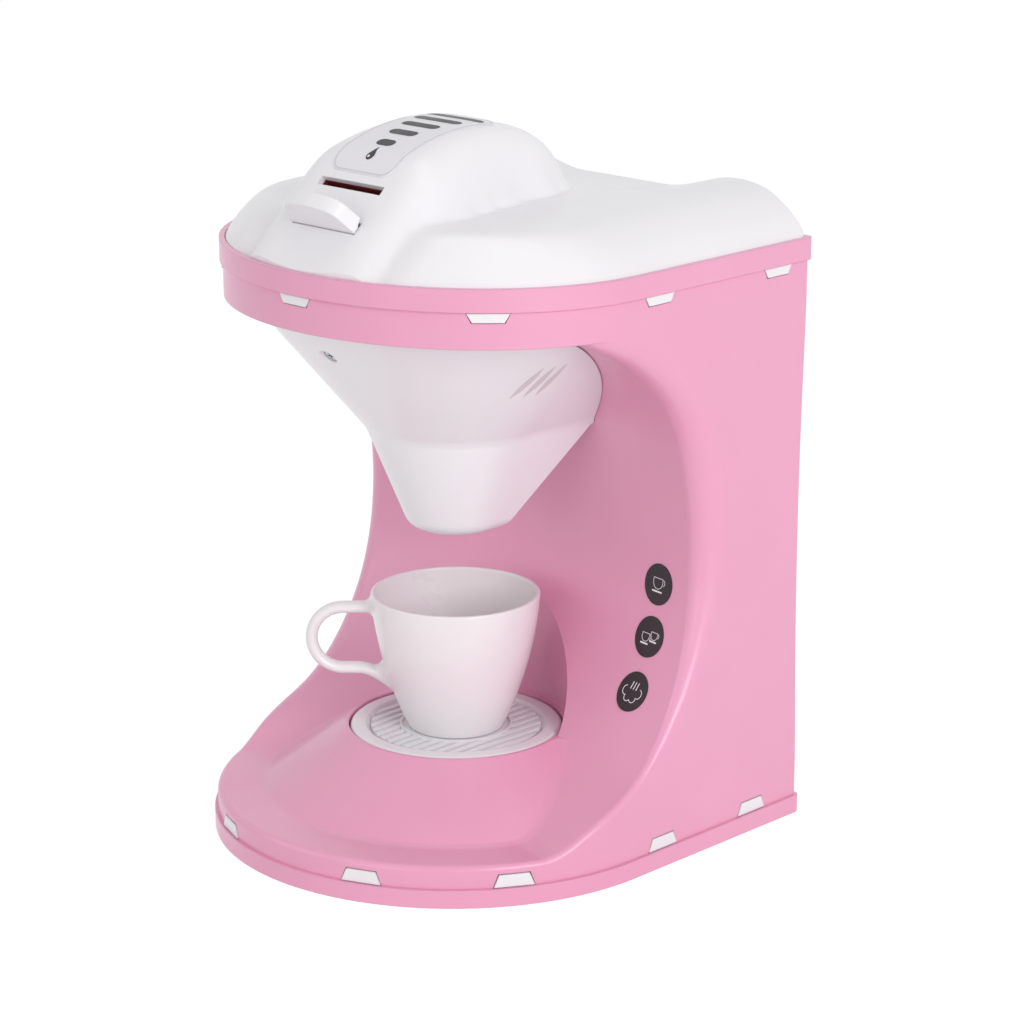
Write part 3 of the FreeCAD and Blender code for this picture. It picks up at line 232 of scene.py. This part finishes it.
def ink(name, dark, light, roughness):
    """Printed film or ink: flat, smooth and a little uneven in gloss."""
    made, tree, output = shader_tree(name)
    place = add(tree, "TexCoord").outputs["Object"]
    cloud = add(tree, "TexNoise", {"Vector": place, "Scale": 90.0, "Detail": 3.0})
    grain = add(tree, "TexNoise", {"Vector": place, "Scale": 1500.0, "Detail": 1.0})
    colour = add(tree, "ValToRGB", {"Fac": cloud.outputs["Fac"]})
    colour.color_ramp.elements[0].color = (*dark, 1.0)
    colour.color_ramp.elements[1].color = (*light, 1.0)
    rough = ramp(tree, cloud.outputs["Fac"], 0.3, 0.7, roughness - 0.04, roughness + 0.06)
    bump = add(tree, "Bump", {"Strength": 0.05, "Distance": 0.05 * MM, "Height": grain.outputs["Fac"]})
    surface = add(tree, "BsdfPrincipled", {
        "Base Color": colour.outputs["Color"], "Roughness": rough, "Normal": bump.outputs["Normal"]})
    tree.links.new(surface.outputs["BSDF"], output.inputs["Surface"])
    return made


plated_steel = steel("plated_steel")
soft_rubber = rubber("soft_rubber")
black_film = ink("black_film", (0.010, 0.006, 0.009), (0.016, 0.009, 0.013), 0.36)
black_ink = ink("black_ink", (0.006, 0.006, 0.007), (0.012, 0.012, 0.013), 0.4)
white_ink = ink("white_ink", (0.86, 0.83, 0.86), (0.9, 0.88, 0.9), 0.45)
grey_ink = ink("grey_ink", (0.64, 0.57, 0.60), (0.67, 0.60, 0.63), 0.45)
panel_film = ink("panel_film", (0.80, 0.785, 0.825), (0.82, 0.805, 0.845), 0.38)
print("small finishes made")

# %% [markdown]
# Dressing the frame
#
# Each solid keeps its shape and only gets a material in its slots. A table of piece and finish is
# the shortest honest way to say it, and a check that no piece was forgotten comes with it.

# %% Give every solid its finish
FINISHES = {
    pink_plastic: ("main_housing", "top_collar", "base_rim"),
    white_plastic: ("bottom_plate", "top_lid", "lever", "hopper", "tank_funnel", "outlet_nozzle",
                    "valve_rod", "drip_tray"),
    cup_plastic: ("cup",),
    chute_painted_shade: ("feed_chute",),
    plated_steel: ("lever_pin", "hopper_screw", "return_spring"),
    # The feed chute's dark red finish is painted shade of the pink inside of the slot.
    soft_rubber: ("valve_seal", "foot_pads"),
    panel_film: ("level_label",),
    black_film: ("label_one_cup", "label_two_cups", "label_steam"),
}


def dress(node, material):
    """Puts one finish in all of a solid's slots."""
    slots = NODES[node].data.materials
    if not slots:
        slots.append(material)
    for index in range(len(slots)):
        slots[index] = material


for finish, members in FINISHES.items():
    for member in members:
        dress(member, finish)
bare = sorted(set(NODES) - {member for members in FINISHES.values() for member in members})
print("solids without a finish:", bare)

# %% [markdown]
# Printing on a curved surface
#
# The bars on the lid and the pictures on the discs are printed, so they follow the surface below.
# A texture would need an image, and a decal plane would float over the curve. Here each mark is
# drawn as a flat outline, cut into small faces, and dropped onto the solid along one direction by
# ray casting. It is then lifted by a hair and given a skin's thickness.

# %% Helpers for printed marks
PRINT_LIFT = 0.04 * MM
PRINT_THICK = 0.05 * MM


def surface_tree(*nodes):
    """A ray-casting tree over the faces of these solids."""
    points, faces = [], []
    for node in nodes:
        start = len(points)
        mesh = NODES[node].data
        points += [vertex.co.copy() for vertex in mesh.vertices]
        faces += [[start + index for index in polygon.vertices] for polygon in mesh.polygons]
    return BVHTree.FromPolygons(points, faces)


def new_object(name, mesh, material, body):
    """Links a finished mesh as a piece of the toy and lets it ride on a body."""
    piece = bpy.data.objects.new(name, mesh)
    bpy.context.scene.collection.objects.link(piece)
    mesh.materials.clear()
    mesh.materials.append(material)
    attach(piece, body)
    return piece


def drape(name, shape, place, tree, along, material, lift=PRINT_LIFT, thick=PRINT_THICK):
    """Drops a flat mesh on a surface. Place turns a flat point into a point in the frame."""
    rest = {}
    for vertex in shape.verts:
        start = place(vertex.co)
        hit, normal, _, _ = tree.ray_cast(start, along)
        if hit is None:
            hit, normal, _, _ = tree.find_nearest(start)
        if normal.dot(along) > 0.0:
            normal = -normal
        rest[vertex] = (hit, normal)
    for vertex, (hit, normal) in rest.items():
        vertex.co = hit + normal * (lift + thick)
    bmesh.ops.recalc_face_normals(shape, faces=shape.faces)
    if sum(face.normal.dot(along) * face.calc_area() for face in shape.faces) > 0.0:
        bmesh.ops.reverse_faces(shape, faces=shape.faces)
    top = list(shape.faces)
    border = [edge for edge in shape.edges if edge.is_boundary]
    lower = {vertex: shape.verts.new(hit + normal * lift) for vertex, (hit, normal) in rest.items()}
    for face in top:
        shape.faces.new([lower[vertex] for vertex in reversed(face.verts)])
    for edge in border:
        loop = edge.link_loops[0]
        first, second = loop.vert, loop.link_loop_next.vert
        shape.faces.new([second, first, lower[first], lower[second]])
    mesh = bpy.data.meshes.new(name)
    shape.to_mesh(mesh)
    shape.free()
    return new_object(name, mesh, material, "body")


def fill(outline, step):
    """A flat mesh from a closed outline, with faces small enough to follow a curved surface."""
    shape = bmesh.new()
    corners = [shape.verts.new((x, y, 0.0)) for x, y in outline]
    shape.faces.new(corners)
    low = Vector((min(x for x, _ in outline), min(y for _, y in outline)))
    high = Vector((max(x for x, _ in outline), max(y for _, y in outline)))
    for axis, normal in ((0, Vector((1, 0, 0))), (1, Vector((0, 1, 0)))):
        cut = low[axis] + step
        while cut < high[axis] - 0.2 * step:
            bmesh.ops.bisect_plane(shape, geom=shape.verts[:] + shape.edges[:] + shape.faces[:],
                                   plane_co=normal * cut, plane_no=normal)
            cut += step
    return shape


def ribbon(points, width, closed=False):
    """A flat strip of even width along a line of points."""
    shape = bmesh.new()
    count = len(points)
    rows = []
    for index, (x, y) in enumerate(points):
        before = points[index - 1] if closed or index else points[index]
        after = points[(index + 1) % count] if closed or index < count - 1 else points[index]
        way = (Vector(after) - Vector(before)).normalized()
        side = Vector((-way.y, way.x)) * width / 2.0
        middle = Vector((x, y))
        rows.append([shape.verts.new((*(middle + side), 0.0)), shape.verts.new((*(middle - side), 0.0))])
    for index in range(count if closed else count - 1):
        (a, b), (c, d) = rows[index], rows[(index + 1) % count]
        shape.faces.new([a, b, d, c])
    return shape


def arc(centre, radius, start, end, count):
    """Points along an arc; angles in degrees."""
    turns = [math.radians(start + (end - start) * index / (count - 1)) for index in range(count)]
    return [(centre[0] + radius * math.cos(turn), centre[1] + radius * math.sin(turn)) for turn in turns]


def rounded_box(half_x, half_y, radius, count):
    """Outline of a rectangle with round corners, each drawn with so many points."""
    corners = ((1, 1, 0), (-1, 1, 90), (-1, -1, 180), (1, -1, 270))
    points = []
    for side_x, side_y, start in corners:
        middle = (side_x * (half_x - radius), side_y * (half_y - radius))
        points += arc(middle, radius, start, start + 90, count)
    return points


print("printing helpers ready")

# %% [markdown]
# The strength scale on the lid
#
# A drop and five bars that grow towards the back are printed on the panel. The bars are the same
# mark at five sizes and one even pitch, which is what Geometry Nodes are good at: one rule with a
# count, a pitch and a growth, and not five drawings. The tree lays the bars flat on the level
# plane; a ray cast then drops their points on the panel.

# %% Read where the panel lies
panel_low, panel_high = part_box("level_label")
PANEL_TREE = surface_tree("level_label")
DOWN = Vector((0.0, 0.0, -1.0))
ABOVE = panel_high.z + 10.0 * MM
DROP_FROM_FRONT = 6.3 * MM
FIRST_BAR_FROM_FRONT = 14.2 * MM
BAR_PITCH = 8.85 * MM
BAR_THICK = 4.2 * MM
BAR_FIRST = 8.6 * MM
BAR_GROWTH = 4.9 * MM
BAR_COUNT = 5
print("panel from", round(panel_low.y / MM, 1), "to", round(panel_high.y / MM, 1))


# %% A tree that lays out the bars
def math_node(tree, operation, first, second):
    """Adds one sum, product or other operation on two numbers or outputs."""
    node = tree.nodes.new("ShaderNodeMath")
    node.operation = operation
    for socket, value in zip(node.inputs, (first, second)):
        if isinstance(value, bpy.types.NodeSocket):
            tree.links.new(value, socket)
        else:
            socket.default_value = value
    return node.outputs[0]


def bars_tree(material):
    """Rounded bars side by side along Y: count, pitch, thickness, first width and growth."""
    tree = bpy.data.node_groups.new("strength_bars", "GeometryNodeTree")
    tree.interface.new_socket("Geometry", in_out="OUTPUT", socket_type="NodeSocketGeometry")
    inputs = {}
    for name, kind, value in (("Count", "NodeSocketInt", BAR_COUNT),
                              ("Pitch", "NodeSocketFloat", BAR_PITCH),
                              ("Thickness", "NodeSocketFloat", BAR_THICK),
                              ("First width", "NodeSocketFloat", BAR_FIRST),
                              ("Growth", "NodeSocketFloat", BAR_GROWTH)):
        socket = tree.interface.new_socket(name, in_out="INPUT", socket_type=kind)
        socket.default_value = value
        inputs[name] = socket.identifier
    source = tree.nodes.new("NodeGroupInput")
    sink = tree.nodes.new("NodeGroupOutput")
    line = tree.nodes.new("GeometryNodeMeshLine")
    line.mode = "OFFSET"
    tree.links.new(source.outputs["Count"], line.inputs["Count"])
    offset = tree.nodes.new("ShaderNodeCombineXYZ")
    tree.links.new(source.outputs["Pitch"], offset.inputs["Y"])
    tree.links.new(offset.outputs[0], line.inputs["Offset"])
    bar = tree.nodes.new("GeometryNodeMeshGrid")
    bar.inputs["Size X"].default_value = 1.0
    bar.inputs["Size Y"].default_value = 1.0
    bar.inputs["Vertices X"].default_value = 41
    bar.inputs["Vertices Y"].default_value = 9
    number = tree.nodes.new("GeometryNodeInputIndex")
    wide = math_node(tree, "MULTIPLY", number.outputs[0], source.outputs["Growth"])
    wide = math_node(tree, "ADD", wide, source.outputs["First width"])
    size = tree.nodes.new("ShaderNodeCombineXYZ")
    tree.links.new(wide, size.inputs["X"])
    tree.links.new(source.outputs["Thickness"], size.inputs["Y"])
    size.inputs["Z"].default_value = 1.0
    spread = tree.nodes.new("GeometryNodeInstanceOnPoints")
    tree.links.new(line.outputs["Mesh"], spread.inputs["Points"])
    tree.links.new(bar.outputs["Mesh"], spread.inputs["Instance"])
    tree.links.new(size.outputs[0], spread.inputs["Scale"])
    real = tree.nodes.new("GeometryNodeRealizeInstances")
    tree.links.new(spread.outputs[0], real.inputs[0])
    paint = tree.nodes.new("GeometryNodeSetMaterial")
    paint.inputs["Material"].default_value = material
    tree.links.new(real.outputs[0], paint.inputs["Geometry"])
    tree.links.new(paint.outputs[0], sink.inputs[0])
    return tree, inputs


def grown(tree, values):
    """Evaluates a Geometry Nodes tree on an empty mesh and returns the plain result."""
    carrier = bpy.data.objects.new("carrier", bpy.data.meshes.new("carrier"))
    bpy.context.scene.collection.objects.link(carrier)
    modifier = carrier.modifiers.new("rule", "NODES")
    modifier.node_group = tree
    for identifier, value in values.items():
        modifier[identifier] = value
    graph = bpy.context.evaluated_depsgraph_get()
    result = bpy.data.meshes.new_from_object(carrier.evaluated_get(graph))
    bpy.data.objects.remove(carrier)
    return result


# %% Lay the bars on the panel
def round_the_ends(shape, thick):
    """Turns each flat rectangle of a mesh into a bar with half-round ends."""
    left = set(shape.verts)
    bars = 0
    while left:
        bar, front = set(), [left.pop()]
        while front:
            vertex = front.pop()
            bar.add(vertex)
            near = [edge.other_vert(vertex) for edge in vertex.link_edges]
            front += [other for other in near if other in left]
            left -= set(near)
        low = min(vertex.co.x for vertex in bar)
        high = max(vertex.co.x for vertex in bar)
        middle = (min(vertex.co.y for vertex in bar) + max(vertex.co.y for vertex in bar)) / 2.0
        for vertex in bar:
            across = (vertex.co.y - middle) / (thick / 2.0)
            pull = (thick / 2.0) * (1.0 - math.sqrt(max(0.0, 1.0 - min(1.0, abs(across)) ** 2)))
            share = (vertex.co.x - low) / (high - low)
            vertex.co.x = low + pull + share * (high - low - 2.0 * pull)
        bars += 1
    return bars


def on_panel(point):
    """From the flat drawing, measured back from the panel's front edge, to above the panel."""
    return Vector((point.x, panel_low.y + point.y, ABOVE))


rule, sockets = bars_tree(black_ink)
flat = grown(rule, {sockets["Count"]: BAR_COUNT, sockets["Pitch"]: BAR_PITCH,
                    sockets["Thickness"]: BAR_THICK, sockets["First width"]: BAR_FIRST,
                    sockets["Growth"]: BAR_GROWTH})
bars_shape = bmesh.new()
bars_shape.from_mesh(flat)
bmesh.ops.translate(bars_shape, verts=bars_shape.verts[:], vec=(0.0, FIRST_BAR_FROM_FRONT, 0.0))
made_bars = round_the_ends(bars_shape, BAR_THICK)
drape("strength_bars", bars_shape, on_panel, PANEL_TREE, DOWN, black_ink)
print("bars on the panel:", made_bars)

# %% [markdown]
# The drop and the edge of the panel
#
# The drop is a circle drawn out to a point, with a small light spot. The panel is marked off from
# the lid by a fine line, which is what one sees of the film's edge. Both are short outlines.

# %% Print the drop and the fine line
DROP_RADIUS = 1.75 * MM
DROP_TAIL = 4.6 * MM
SPOT_RADIUS = 0.5 * MM
SPOT_LIFT = PRINT_LIFT + PRINT_THICK + 0.02 * MM
PANEL_LINE = 0.3 * MM
PANEL_LINE_INSET = 0.4 * MM
PANEL_LINE_STEP = 1.0 * MM
PANEL_CORNER = 5.0 * MM


def drop_outline():
    """A circle whose upper side runs out to a point towards the back of the panel."""
    points = arc((0.0, 0.0), DROP_RADIUS, 150.0, 390.0, 25)
    return points + [(0.25 * DROP_RADIUS, 0.62 * DROP_TAIL), (0.0, DROP_TAIL)]


def on_panel_drop(point):
    """From the drawing of the drop, around its middle, to above the panel."""
    return Vector((point.x, panel_low.y + DROP_FROM_FRONT + point.y, ABOVE))


def over_panel_middle(point):
    """From the drawing of the line, around the panel's middle, to above the panel."""
    return Vector((panel_middle.x + point.x, panel_middle.y + point.y, ABOVE))


drape("strength_drop", fill(drop_outline(), 0.8 * MM), on_panel_drop, PANEL_TREE, DOWN, black_ink)
spot = fill(arc((-0.3 * DROP_RADIUS, -0.25 * DROP_RADIUS), SPOT_RADIUS, 0.0, 345.0, 24), 0.3 * MM)
drape("drop_spot", spot, on_panel_drop, PANEL_TREE, DOWN, white_ink,
      lift=SPOT_LIFT)
panel_middle = (panel_low + panel_high) / 2.0
panel_half = (panel_high - panel_low) / 2.0
line_points = rounded_box(panel_half.x - PANEL_LINE_INSET, panel_half.y - PANEL_LINE_INSET,
                          PANEL_CORNER, count=9)
dense = []
for index, point in enumerate(line_points):
    after = Vector(line_points[(index + 1) % len(line_points)])
    steps = max(1, int((after - Vector(point)).length / PANEL_LINE_STEP))
    dense += [tuple(Vector(point).lerp(after, step / steps)) for step in range(steps)]
panel_edge = ribbon(dense, PANEL_LINE, closed=True)
panel_grey = ink("panel_grey", (0.62, 0.60, 0.64), (0.66, 0.64, 0.68), 0.4)
drape("panel_line", panel_edge, over_panel_middle, PANEL_TREE, DOWN, panel_grey)
print("drop and line printed")

# %% [markdown]
# The pictures on the discs
#
# Three black discs on the face carry thin pale pictures: one cup, two cups and a puff of steam.
# They are drawn as strips of even width along short lines and arcs, in millimetres from the middle
# of the disc. Each disc tells where it is and which way it faces, so the pictures follow it.

# %% Find how each disc lies
def disc_place(node):
    """Middle of a disc, the way it faces, and its own right and up directions."""
    mesh = NODES[node].data
    total, normal = Vector(), Vector()
    weight = 0.0
    for polygon in mesh.polygons:
        if polygon.normal.y < -0.2:
            total += polygon.center * polygon.area
            normal += polygon.normal * polygon.area
            weight += polygon.area
    middle = total / weight
    facing = normal.normalized()
    up = (Vector((0.0, 0.0, 1.0)) - facing * facing.z).normalized()
    return middle, facing, up.cross(facing).normalized(), up


THIN_LINE = 0.22 * MM
BOLD_LINE = 0.62 * MM
CLEAR_OF_DISC = 8.0 * MM


def print_on_disc(node, name, strips):
    """Prints strips, given as (points in mm, width), on a disc as one piece."""
    middle, facing, right, up = disc_place(node)
    tree = surface_tree(node)
    joined = bmesh.new()
    for points, width in strips:
        strip = ribbon([(x * MM, y * MM) for x, y in points], width)
        scratch = bpy.data.meshes.new("strip")
        strip.to_mesh(scratch)
        strip.free()
        joined.from_mesh(scratch)
        bpy.data.meshes.remove(scratch)

    def place(point):
        return middle + facing * CLEAR_OF_DISC + right * point.x + up * point.y

    return drape(name, joined, place, tree, -facing, white_ink)


def line(first, second, count=9):
    """Evenly spaced points from one point to another."""
    return [tuple(Vector(first).lerp(Vector(second), index / (count - 1))) for index in range(count)]


def cup_picture(x, y, size):
    """A cup seen from the side, on a saucer line, around a point; size is its half width in mm."""
    bowl = line((x - size, y + 0.75 * size), (x - size, y + 0.2 * size), 5)
    bowl += arc((x, y + 0.2 * size), size, 180.0, 360.0, 19)[1:]
    bowl += line((x + size, y + 0.2 * size), (x + size, y + 0.75 * size), 5)[1:]
    brim = line((x - size, y + 0.75 * size), (x + size, y + 0.75 * size), 9)
    ear = arc((x + 1.05 * size, y + 0.25 * size), 0.42 * size, -80.0, 80.0, 13)
    saucer = line((x - 1.05 * size, y - 1.15 * size), (x + 1.05 * size, y - 1.15 * size), 9)
    return [(bowl, THIN_LINE), (brim, THIN_LINE), (ear, THIN_LINE), (saucer, BOLD_LINE)]


# %% Print the three pictures
print_on_disc("label_one_cup", "picture_one_cup", cup_picture(-0.3, 0.4, 2.7))
print_on_disc("label_two_cups", "picture_two_cups",
              cup_picture(-2.0, -0.4, 2.1) + cup_picture(2.6, 0.9, 1.9))
PUFFS = ((-3.5, 0.0, 1.9, 100.0, 290.0), (-1.5, -2.3, 1.7, 160.0, 330.0), (1.5, -2.3, 1.7, 210.0, 380.0),
         (3.5, 0.0, 1.9, 250.0, 440.0))
steam = [(arc((x, y), radius, start, end, 15), 0.3 * MM) for x, y, radius, start, end in PUFFS]
steam += [(line((x, 1.0), (x + 0.5, 4.1), 7), 0.4 * MM) for x in (-1.7, -0.1, 1.5)]
print_on_disc("label_steam", "picture_steam", steam)
print("pictures printed")

# %% [markdown]
# The vent marks on the hopper
#
# Three slanted marks, pointed at both ends, stand side by side on the hopper's cheek. On the real
# toy they are printed or sunk by a hair, in a pale grey. They repeat one mark at an even pitch, so
# the rule is again a Geometry Nodes tree: a mark, a count and an offset.

# %% Lay out the marks with one rule
VENT_COUNT = 3
VENT_MIDDLE = Vector((90.0 * MM, -13.5 * MM, 187.0 * MM))
VENT_PITCH = 5.2 * MM
VENT_LONG = 14.0 * MM
VENT_WIDE = 3.0 * MM
VENT_LEAN = math.radians(70.0)
VENT_LIFT = 0.02 * MM


def marks_tree(material):
    """Lens-shaped marks in a row: count, pitch, length, width and lean."""
    tree = bpy.data.node_groups.new("vent_marks", "GeometryNodeTree")
    tree.interface.new_socket("Geometry", in_out="OUTPUT", socket_type="NodeSocketGeometry")
    inputs = {}
    for name, kind, value in (("Count", "NodeSocketInt", VENT_COUNT),
                              ("Pitch", "NodeSocketFloat", VENT_PITCH),
                              ("Length", "NodeSocketFloat", VENT_LONG),
                              ("Width", "NodeSocketFloat", VENT_WIDE),
                              ("Lean", "NodeSocketFloat", VENT_LEAN)):
        socket = tree.interface.new_socket(name, in_out="INPUT", socket_type=kind)
        socket.default_value = value
        inputs[name] = socket.identifier
    source = tree.nodes.new("NodeGroupInput")
    sink = tree.nodes.new("NodeGroupOutput")
    row = tree.nodes.new("GeometryNodeMeshLine")
    row.mode = "OFFSET"
    tree.links.new(source.outputs["Count"], row.inputs["Count"])
    offset = tree.nodes.new("ShaderNodeCombineXYZ")
    tree.links.new(source.outputs["Pitch"], offset.inputs["X"])
    tree.links.new(offset.outputs[0], row.inputs["Offset"])
    mark = tree.nodes.new("GeometryNodeMeshGrid")
    mark.inputs["Vertices X"].default_value = 25
    mark.inputs["Vertices Y"].default_value = 5
    mark.inputs["Size X"].default_value = 1.0
    mark.inputs["Size Y"].default_value = 1.0
    place = tree.nodes.new("GeometryNodeInputPosition")
    parts = tree.nodes.new("ShaderNodeSeparateXYZ")
    tree.links.new(place.outputs[0], parts.inputs[0])
    double = math_node(tree, "MULTIPLY", parts.outputs["X"], 2.0)
    square = math_node(tree, "MULTIPLY", double, double)
    thin = math_node(tree, "SUBTRACT", 1.02, square)
    narrow = math_node(tree, "MULTIPLY", parts.outputs["Y"], thin)
    lens = tree.nodes.new("ShaderNodeCombineXYZ")
    tree.links.new(parts.outputs["X"], lens.inputs["X"])
    tree.links.new(narrow, lens.inputs["Y"])
    pinch = tree.nodes.new("GeometryNodeSetPosition")
    tree.links.new(mark.outputs["Mesh"], pinch.inputs["Geometry"])
    tree.links.new(lens.outputs[0], pinch.inputs["Position"])
    size = tree.nodes.new("ShaderNodeCombineXYZ")
    tree.links.new(source.outputs["Length"], size.inputs["X"])
    tree.links.new(source.outputs["Width"], size.inputs["Y"])
    size.inputs["Z"].default_value = 1.0
    turn = tree.nodes.new("ShaderNodeCombineXYZ")
    tree.links.new(source.outputs["Lean"], turn.inputs["Z"])
    spread = tree.nodes.new("GeometryNodeInstanceOnPoints")
    tree.links.new(row.outputs["Mesh"], spread.inputs["Points"])
    tree.links.new(pinch.outputs[0], spread.inputs["Instance"])
    tree.links.new(size.outputs[0], spread.inputs["Scale"])
    tree.links.new(turn.outputs[0], spread.inputs["Rotation"])
    real = tree.nodes.new("GeometryNodeRealizeInstances")
    tree.links.new(spread.outputs[0], real.inputs[0])
    paint = tree.nodes.new("GeometryNodeSetMaterial")
    paint.inputs["Material"].default_value = material
    tree.links.new(real.outputs[0], paint.inputs["Geometry"])
    tree.links.new(paint.outputs[0], sink.inputs[0])
    return tree, inputs


rule, sockets = marks_tree(grey_ink)
flat = grown(rule, {sockets["Count"]: VENT_COUNT, sockets["Pitch"]: VENT_PITCH,
                    sockets["Length"]: VENT_LONG, sockets["Width"]: VENT_WIDE,
                    sockets["Lean"]: VENT_LEAN})
marks = bmesh.new()
marks.from_mesh(flat)
first = -VENT_PITCH * (VENT_COUNT - 1) / 2.0
bmesh.ops.translate(marks, verts=marks.verts[:], vec=(first, 0.0, 0.0))


def beside_hopper(point):
    """The flat drawing stands upright beside the hopper: its X runs back and its Y runs up."""
    return VENT_MIDDLE + Vector((0.0, point.x, point.y))


drape("vent_marks", marks, beside_hopper, surface_tree("hopper"), Vector((-1.0, 0.0, 0.0)), grey_ink,
      lift=VENT_LIFT)
print("vent marks:", VENT_COUNT)

# %% [markdown]
# Floor and backdrop
#
# The photograph was taken on pure white with a faint shadow under the base. The floor is one large
# plane. To the camera, and in mirrored and see-through rays, it is plain white; to every other ray
# it is a pale diffuse floor that throws soft light back up. The world does the same.

# %% Make the floor and the world
FLOOR_SIZE = 6.0
SHADOW_KEPT = 0.32
FLOOR_GLOW = 0.82
FLOOR_BOUNCE = 0.90

floor_shape = bmesh.new()
bmesh.ops.create_grid(floor_shape, x_segments=1, y_segments=1, size=FLOOR_SIZE / 2.0)
floor_mesh = bpy.data.meshes.new("floor")
floor_shape.to_mesh(floor_mesh)
floor_shape.free()
floor = bpy.data.objects.new("floor", floor_mesh)
bpy.context.scene.collection.objects.link(floor)
floor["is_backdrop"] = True


def seen_directly(tree):
    """1 for camera, mirrored and see-through rays."""
    path = add(tree, "LightPath")
    either = math_node(tree, "MAXIMUM", path.outputs["Is Camera Ray"], path.outputs["Is Glossy Ray"])
    return math_node(tree, "MAXIMUM", either, path.outputs["Is Transmission Ray"])


def floor_finish():
    """White to the eye with a part of its shadow kept, and pale to all other rays."""
    made, tree, output = shader_tree("floor_white")
    pale = add(tree, "BsdfDiffuse", {"Color": (FLOOR_BOUNCE, FLOOR_BOUNCE, FLOOR_BOUNCE, 1.0)})
    glow = add(tree, "Emission", {"Color": (1.0, 1.0, 1.0, 1.0), "Strength": FLOOR_GLOW})
    clear = add(tree, "BsdfDiffuse", {"Color": (SHADOW_KEPT, SHADOW_KEPT, SHADOW_KEPT, 1.0)})
    shown = add(tree, "AddShader")
    tree.links.new(glow.outputs[0], shown.inputs[0])
    tree.links.new(clear.outputs[0], shown.inputs[1])
    choose = add(tree, "MixShader", {"Fac": seen_directly(tree)})
    tree.links.new(pale.outputs[0], choose.inputs[1])
    tree.links.new(shown.outputs[0], choose.inputs[2])
    tree.links.new(choose.outputs[0], output.inputs["Surface"])
    return made


floor_mesh.materials.append(floor_finish())

WORLD_LIGHT = 0.52
world = bpy.data.worlds.new("studio")
bpy.context.scene.world = world
world.use_nodes = True
sky = world.node_tree
sky.nodes.clear()
sky_out = sky.nodes.new("ShaderNodeOutputWorld")
soft = add(sky, "Background", {"Color": (1.0, 1.0, 1.0, 1.0), "Strength": WORLD_LIGHT})
plain = add(sky, "Background", {"Color": (1.0, 1.0, 1.0, 1.0), "Strength": 1.0})
pick = add(sky, "MixShader", {"Fac": seen_directly(sky)})
sky.links.new(soft.outputs[0], pick.inputs[1])
sky.links.new(plain.outputs[0], pick.inputs[2])
sky.links.new(pick.outputs[0], sky_out.inputs["Surface"])
print("floor and world made")

# %% [markdown]
# Studio light
#
# Product photographs of shiny plastic use a few large soft boxes: a key from the right, a fill
# from the left, a low one in front that reaches into the bay, and one overhead above the lid.
# Their sum lights a surface at about the colour that is written in its material.

# %% Place the soft boxes
AIM = Vector((0.0, 0.0, 0.13))


def soft_box(name, place, size, power):
    """A large lamp at a place, in metres and watts, that faces the toy."""
    data = bpy.data.lights.new(name, "AREA")
    data.shape = "RECTANGLE"
    data.size, data.size_y = size
    data.energy = power
    lamp = bpy.data.objects.new(name, data)
    bpy.context.scene.collection.objects.link(lamp)
    lamp.location = place
    lamp.rotation_euler = (AIM - Vector(place)).to_track_quat("-Z", "Y").to_euler()
    return lamp


soft_box("key", (1.75, -0.5, 0.8), (0.9, 0.9), 16.0)
soft_box("fill", (-1.1, -1.4, 0.9), (1.0, 1.0), 3.5)
soft_box("bay", (0.35, -1.7, 0.43), (0.9, 0.6), 2.0)
soft_box("overhead", (0.0, 0.1, 1.7), (1.2, 0.8), 2.5)

scene = bpy.context.scene
scene.view_settings.view_transform = "Standard"
print("soft boxes placed")

# %% [markdown]
# Checking the sizes
#
# Nothing here is meant to make the toy larger than its solids. The box of the frame, taken before
# dressing, is compared with the box of the dressed toy, and how far each side grew is printed.

# %% Write the sizes and finish
new_low, new_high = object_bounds()
growth = [(new - old) / MM for new, old in zip((*new_low, *new_high), (*cad_low, *cad_high))]
print("grew by mm:", [round(value, 3) for value in growth])
